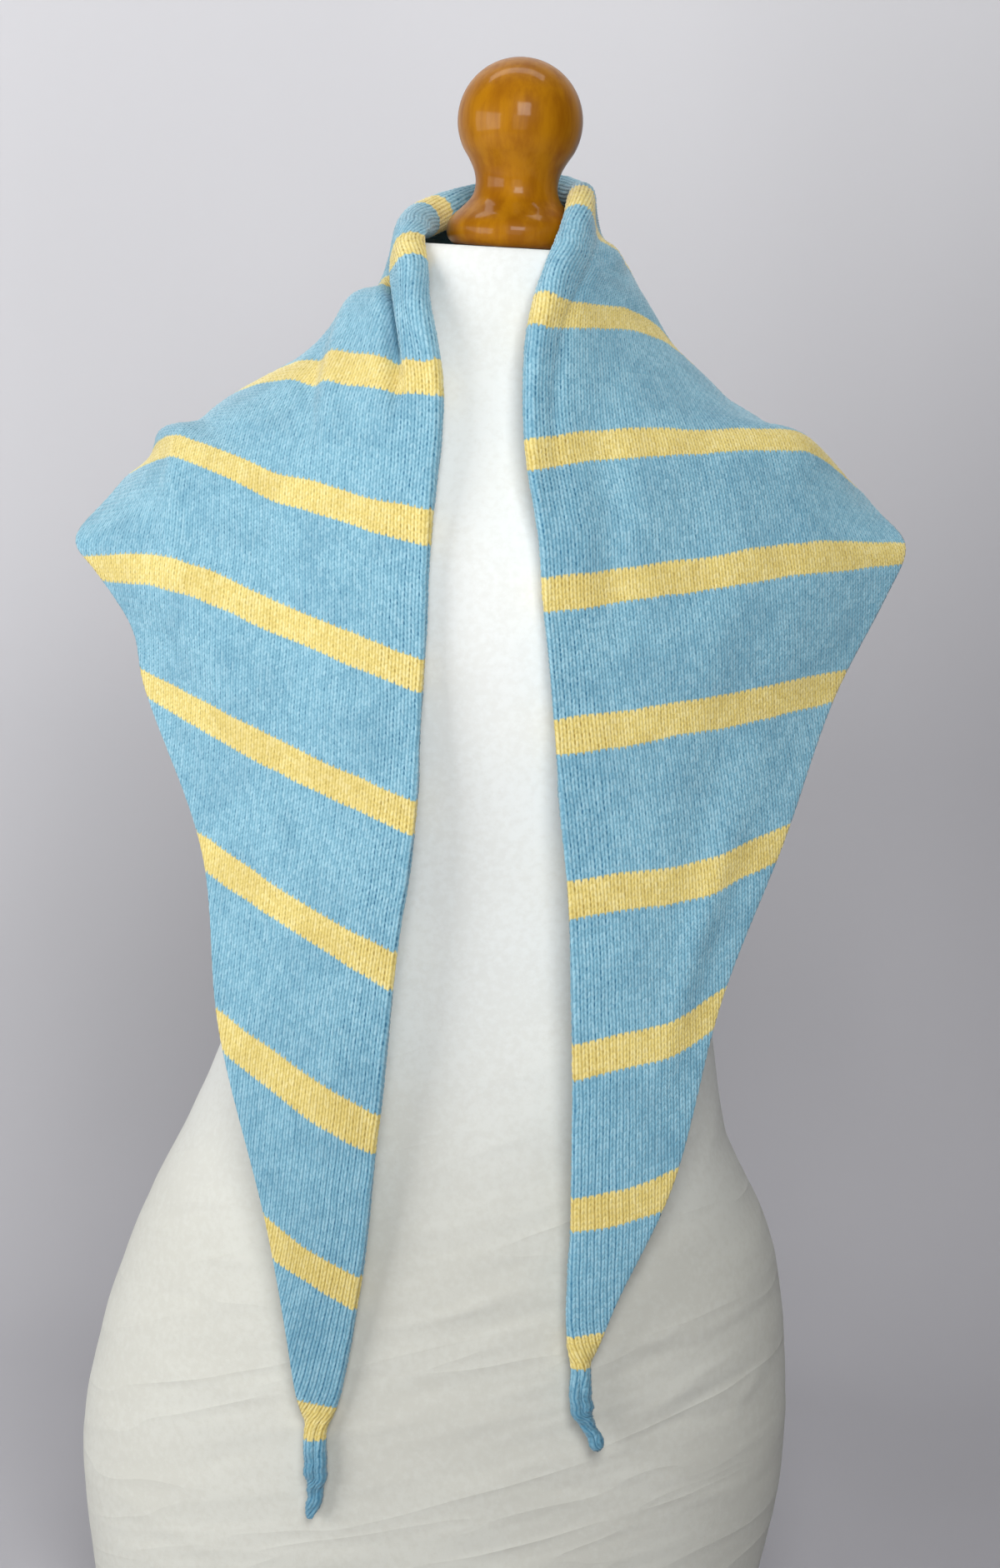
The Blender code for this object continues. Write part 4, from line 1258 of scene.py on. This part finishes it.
def knit_mesh(piece, grid, materials, collection):
    """One stretch of the kerchief: the knitted side, the purl side and the walls round them."""
    first, final = piece.first_row * LINES_PER_ROW, piece.last_row * LINES_PER_ROW
    lines = np.arange(first, final + 1)
    last = grid.last[lines]
    offsets = np.concatenate([[0], np.cumsum(last + 1)[:-1]])
    points, coordinates = [], []
    for line, end in zip(lines, last):
        points.append(grid.front[line, :end + 1])
        coordinates.append(grid.coordinates[line, :end + 1])
    faces = grid_faces(offsets, last, False)
    knit_count = len(faces)

    back_lines = sorted(set(range(first, final, BACK_ROWS * LINES_PER_ROW)) | {final})
    back_columns, back_offsets, back_last = [], [], []
    start = int(last.sum() + len(last))
    for line in back_lines:
        end = grid.last[line]
        columns = list(range(0, end - 1, COLUMNS_PER_STITCH)) + [end]
        back_columns.append(columns)
        back_offsets.append(start)
        back_last.append(len(columns) - 1)
        start += len(columns)
        points.append(grid.back[line, columns])
        coordinates.append(grid.coordinates[line, columns])
    faces += grid_faces(np.array(back_offsets), np.array(back_last), True)
    purl_end = len(faces)

    def front_at(line, column):
        return int(offsets[line - first] + column)

    hem = [front_at(line, grid.last[line]) for line in lines]
    edge = [front_at(line, 0) for line in lines]
    hem_back = [start + end for start, end in zip(back_offsets, back_last)]
    faces += strip_between(hem, lines, hem_back, back_lines)
    faces += [face[::-1] for face in strip_between(edge, lines, back_offsets, back_lines)]
    for line, row, flip in ((first, 0, False), (final, -1, True)):
        fine = [front_at(line, column) for column in range(grid.last[line] + 1)]
        columns = back_columns[row]
        coarse = [back_offsets[row] + column for column in range(len(columns))]
        strip = strip_between(fine, range(len(fine)), coarse, columns)
        faces += [face[::-1] for face in strip] if flip else strip

    item = add_piece(piece.name, np.concatenate(points), faces, materials, collection)
    mesh = item.data
    slots = np.zeros(len(faces), dtype=np.int32)
    slots[knit_count:purl_end] = 1
    mesh.polygons.foreach_set("material_index", slots)
    corner = np.empty(len(mesh.loops), dtype=np.int32)
    mesh.loops.foreach_get("vertex_index", corner)
    flat = np.concatenate(coordinates)[corner]
    mesh.uv_layers.new(name="stitches").data.foreach_set("uv", flat.astype(np.float32).ravel())
    mark_ends(mesh, front_at(first, 0), front_at(first, grid.last[first]),
              front_at(final, 0), front_at(final, grid.last[final]))
    return item


def mark_ends(mesh, first_low, first_high, final_low, final_high):
    """Sharp edges where the knitted side meets the end walls, so that the next piece carries on smoothly."""
    pairs = np.empty(len(mesh.edges) * 2, dtype=np.int32)
    mesh.edges.foreach_get("vertices", pairs)
    pairs = pairs.reshape(-1, 2)
    sharp = np.zeros(len(pairs), dtype=bool)
    for low, high in ((first_low, first_high), (final_low, final_high)):
        sharp |= ((pairs >= low) & (pairs <= high)).all(axis=1)
    layer = mesh.attributes.new("sharp_edge", "BOOLEAN", "EDGE")
    layer.data.foreach_set("value", sharp)


def build_kerchief(knit, collection):
    """All stretches of the kerchief, each built as its own piece in place of its CAD nodes."""
    make_leg_group()
    make_heather_group()
    materials = [wool_material("striped_wool", knit, False), wool_material("striped_wool_purl", knit, True)]
    grid = KnitGrid(knit)
    for piece in KNIT_PIECES:
        item = knit_mesh(piece, grid, materials, collection)
        first, final = piece.first_row * LINES_PER_ROW, piece.last_row * LINES_PER_ROW
        width = float(grid.widths[first:final + 1].max()) * MM
        length = (final - first) / LINES_PER_ROW * knit.row_height
        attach(item, "root")
        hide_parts(*piece.nodes)
        grid.flat_area(first, final)


# ================================================================ stage
SWEEP_FRONT = 3200.0        # how far the floor comes forward
SWEEP_WALL = 850.0          # how far back the backdrop stands
SWEEP_COVE = 420.0          # radius between floor and backdrop
COVE_STEPS = 16
SWEEP_TOP = 3000.0
SWEEP_SIDE = 3000.0         # half its width
CAMERA_PLACE = (0.010, -1.710, 0.852)
CAMERA_PITCH = 10.3         # degrees down from level
CAMERA_ROLL = 3.3           # degrees, the top leaning to the viewer's right
CAMERA_LENS = 68.4          # mm, for a sensor of this height:
CAMERA_SENSOR = 36.0
CAMERA_NEAR = 0.05          # metres, nearer than which nothing is drawn
EVEN_LIGHT = (0.95, 0.97, 1.0)
CHEST = (0.0, 0.0, 0.60)    # what most lights face

# each light's power is the stage setting of that name
Light = namedtuple("Light", "name place target size power")
LIGHTS = [Light(*row) for row in (
    ("key_light", (-1.60, -1.35, 0.78), CHEST, (1.0, 1.0), "key_power"),
    ("side_light", (-2.02, -0.54, 0.78), CHEST, (1.0, 1.0), "side_power"),
    ("front_light", (0.20, -1.83, 1.59), CHEST, (0.8, 0.8), "front_power"),
    ("low_light", (0.0, -2.09, 0.78), CHEST, (1.0, 1.0), "low_power"),
    ("backdrop_light", (-0.2, 0.25, 2.1), (-0.1, 0.85, 1.0), (1.6, 0.4), "backdrop_power"),
)]


def place_camera(collection):
    """The camera, a little above the collar and looking down at the fronts."""
    pitch, roll = math.radians(CAMERA_PITCH), math.radians(CAMERA_ROLL)
    forward = Vector((0.0, math.cos(pitch), -math.sin(pitch)))
    right, up = Vector((1.0, 0.0, 0.0)), Vector((0.0, math.sin(pitch), math.cos(pitch)))
    side = right * math.cos(roll) + up * math.sin(roll)
    top = up * math.cos(roll) - right * math.sin(roll)
    lens = bpy.data.cameras.new("studio_camera")
    lens.lens = CAMERA_LENS
    lens.sensor_fit = "VERTICAL"
    lens.sensor_width = CAMERA_SENSOR
    lens.sensor_height = CAMERA_SENSOR
    lens.clip_start = CAMERA_NEAR
    camera = bpy.data.objects.new("studio_camera", lens)
    turn = Matrix((side, top, -forward)).transposed().to_4x4()
    camera.matrix_world = Matrix.Translation(Vector(CAMERA_PLACE)) @ turn
    collection.objects.link(camera)
    bpy.context.scene.camera = camera


def area_light(light, power, collection):
    """A soft rectangular light that faces its target."""
    data = bpy.data.lights.new(light.name, "AREA")
    data.shape = "RECTANGLE"
    data.size, data.size_y = light.size
    data.energy = power
    item = bpy.data.objects.new(light.name, data)
    item.location = light.place
    item.rotation_euler = (Vector(light.target) - Vector(light.place)).to_track_quat("-Z", "Y").to_euler()
    collection.objects.link(item)


def sweep_profile():
    """The backdrop's outline in the side view: level floor, a wide cove and a plumb wall, millimetres."""
    centre = SWEEP_WALL - SWEEP_COVE
    turns = np.linspace(0.0, math.pi / 2.0, COVE_STEPS + 1)
    cove = [(centre + SWEEP_COVE * math.sin(turn), SWEEP_COVE * (1.0 - math.cos(turn))) for turn in turns]
    return [(-SWEEP_FRONT, 0.0)] + cove + [(SWEEP_WALL, SWEEP_TOP)]


def build_stage(stage, collection):
    """Floor and backdrop in one sweep, lights, even light, camera and the way tones are shown."""
    places = np.linspace(-SWEEP_SIDE, SWEEP_SIDE, 3)
    profile = sweep_profile()
    vertices = [(x, y, z) for y, z in profile for x in places]
    count = len(places)
    faces = [
        (row * count + side, row * count + side + 1, (row + 1) * count + side + 1, (row + 1) * count + side)
        for row in range(len(profile) - 1) for side in range(count - 1)
    ]
    sweep = add_piece("stage_sweep", vertices, faces, [stage_material(stage)], collection)
    for light in LIGHTS:
        area_light(light, getattr(stage, light.power), collection)
    world = bpy.data.worlds.new("even_light")
    bpy.context.scene.world = world
    world.use_nodes = True
    background = world.node_tree.nodes["Background"]
    background.inputs["Color"].default_value = opaque(EVEN_LIGHT)
    background.inputs["Strength"].default_value = stage.sky
    bpy.context.scene.view_settings.view_transform = "Standard"
    place_camera(collection)


# ================================================================ operators and panel
class NECKERCHIEF_OT_stage(bpy.types.Operator):
    """Build the floor, the backdrop, the lights and the camera"""

    bl_idname = "neckerchief.stage"
    bl_label = "Stage"

    def execute(self, context):
        build_stage(context.scene.stage_settings, own_collection())
        return {"FINISHED"}


class NECKERCHIEF_OT_form(bpy.types.Operator):
    """Build the calico dress form"""

    bl_idname = "neckerchief.form"
    bl_label = "Dress form"

    def execute(self, context):
        build_form(context.scene.form_settings, own_collection())
        return {"FINISHED"}


class NECKERCHIEF_OT_finial(bpy.types.Operator):
    """Build the turned wooden finial"""

    bl_idname = "neckerchief.finial"
    bl_label = "Finial"

    def execute(self, context):
        build_finial(context.scene.finial_settings, own_collection())
        return {"FINISHED"}


class NECKERCHIEF_OT_kerchief(bpy.types.Operator):
    """Build the knitted kerchief, stretch by stretch"""

    bl_idname = "neckerchief.kerchief"
    bl_label = "Kerchief"

    def execute(self, context):
        build_kerchief(context.scene.knit_settings, own_collection())
        return {"FINISHED"}


class NECKERCHIEF_PT_sidebar(bpy.types.Panel):
    """Lists the kerchief's pieces and their settings"""

    bl_idname = "NECKERCHIEF_PT_sidebar"
    bl_label = "Neckerchief"
    bl_space_type = "VIEW_3D"
    bl_region_type = "UI"
    bl_category = "Neckerchief"

    def draw(self, context):
        for operator in OPERATORS:
            self.layout.operator(operator.bl_idname)
        for name, group in SETTINGS.items():
            box = self.layout.box()
            for setting in group.__annotations__:
                box.prop(getattr(context.scene, name), setting)


OPERATORS = (NECKERCHIEF_OT_stage, NECKERCHIEF_OT_form, NECKERCHIEF_OT_finial, NECKERCHIEF_OT_kerchief)
SETTINGS = {
    "knit_settings": KnitSettings,
    "form_settings": FormSettings,
    "finial_settings": FinialSettings,
    "stage_settings": StageSettings,
}


def register():
    for name, group in SETTINGS.items():
        bpy.utils.register_class(group)
        setattr(bpy.types.Scene, name, PointerProperty(type=group))
    for operator in OPERATORS:
        bpy.utils.register_class(operator)
    bpy.utils.register_class(NECKERCHIEF_PT_sidebar)


def unregister():
    bpy.utils.unregister_class(NECKERCHIEF_PT_sidebar)
    for operator in reversed(OPERATORS):
        bpy.utils.unregister_class(operator)
    for name, group in SETTINGS.items():
        delattr(bpy.types.Scene, name)
        bpy.utils.unregister_class(group)


def main():
    register()
    bpy.ops.neckerchief.stage()
    bpy.ops.neckerchief.form()
    bpy.ops.neckerchief.finial()
    bpy.ops.neckerchief.kerchief()


if __name__ == "__main__":
    main()
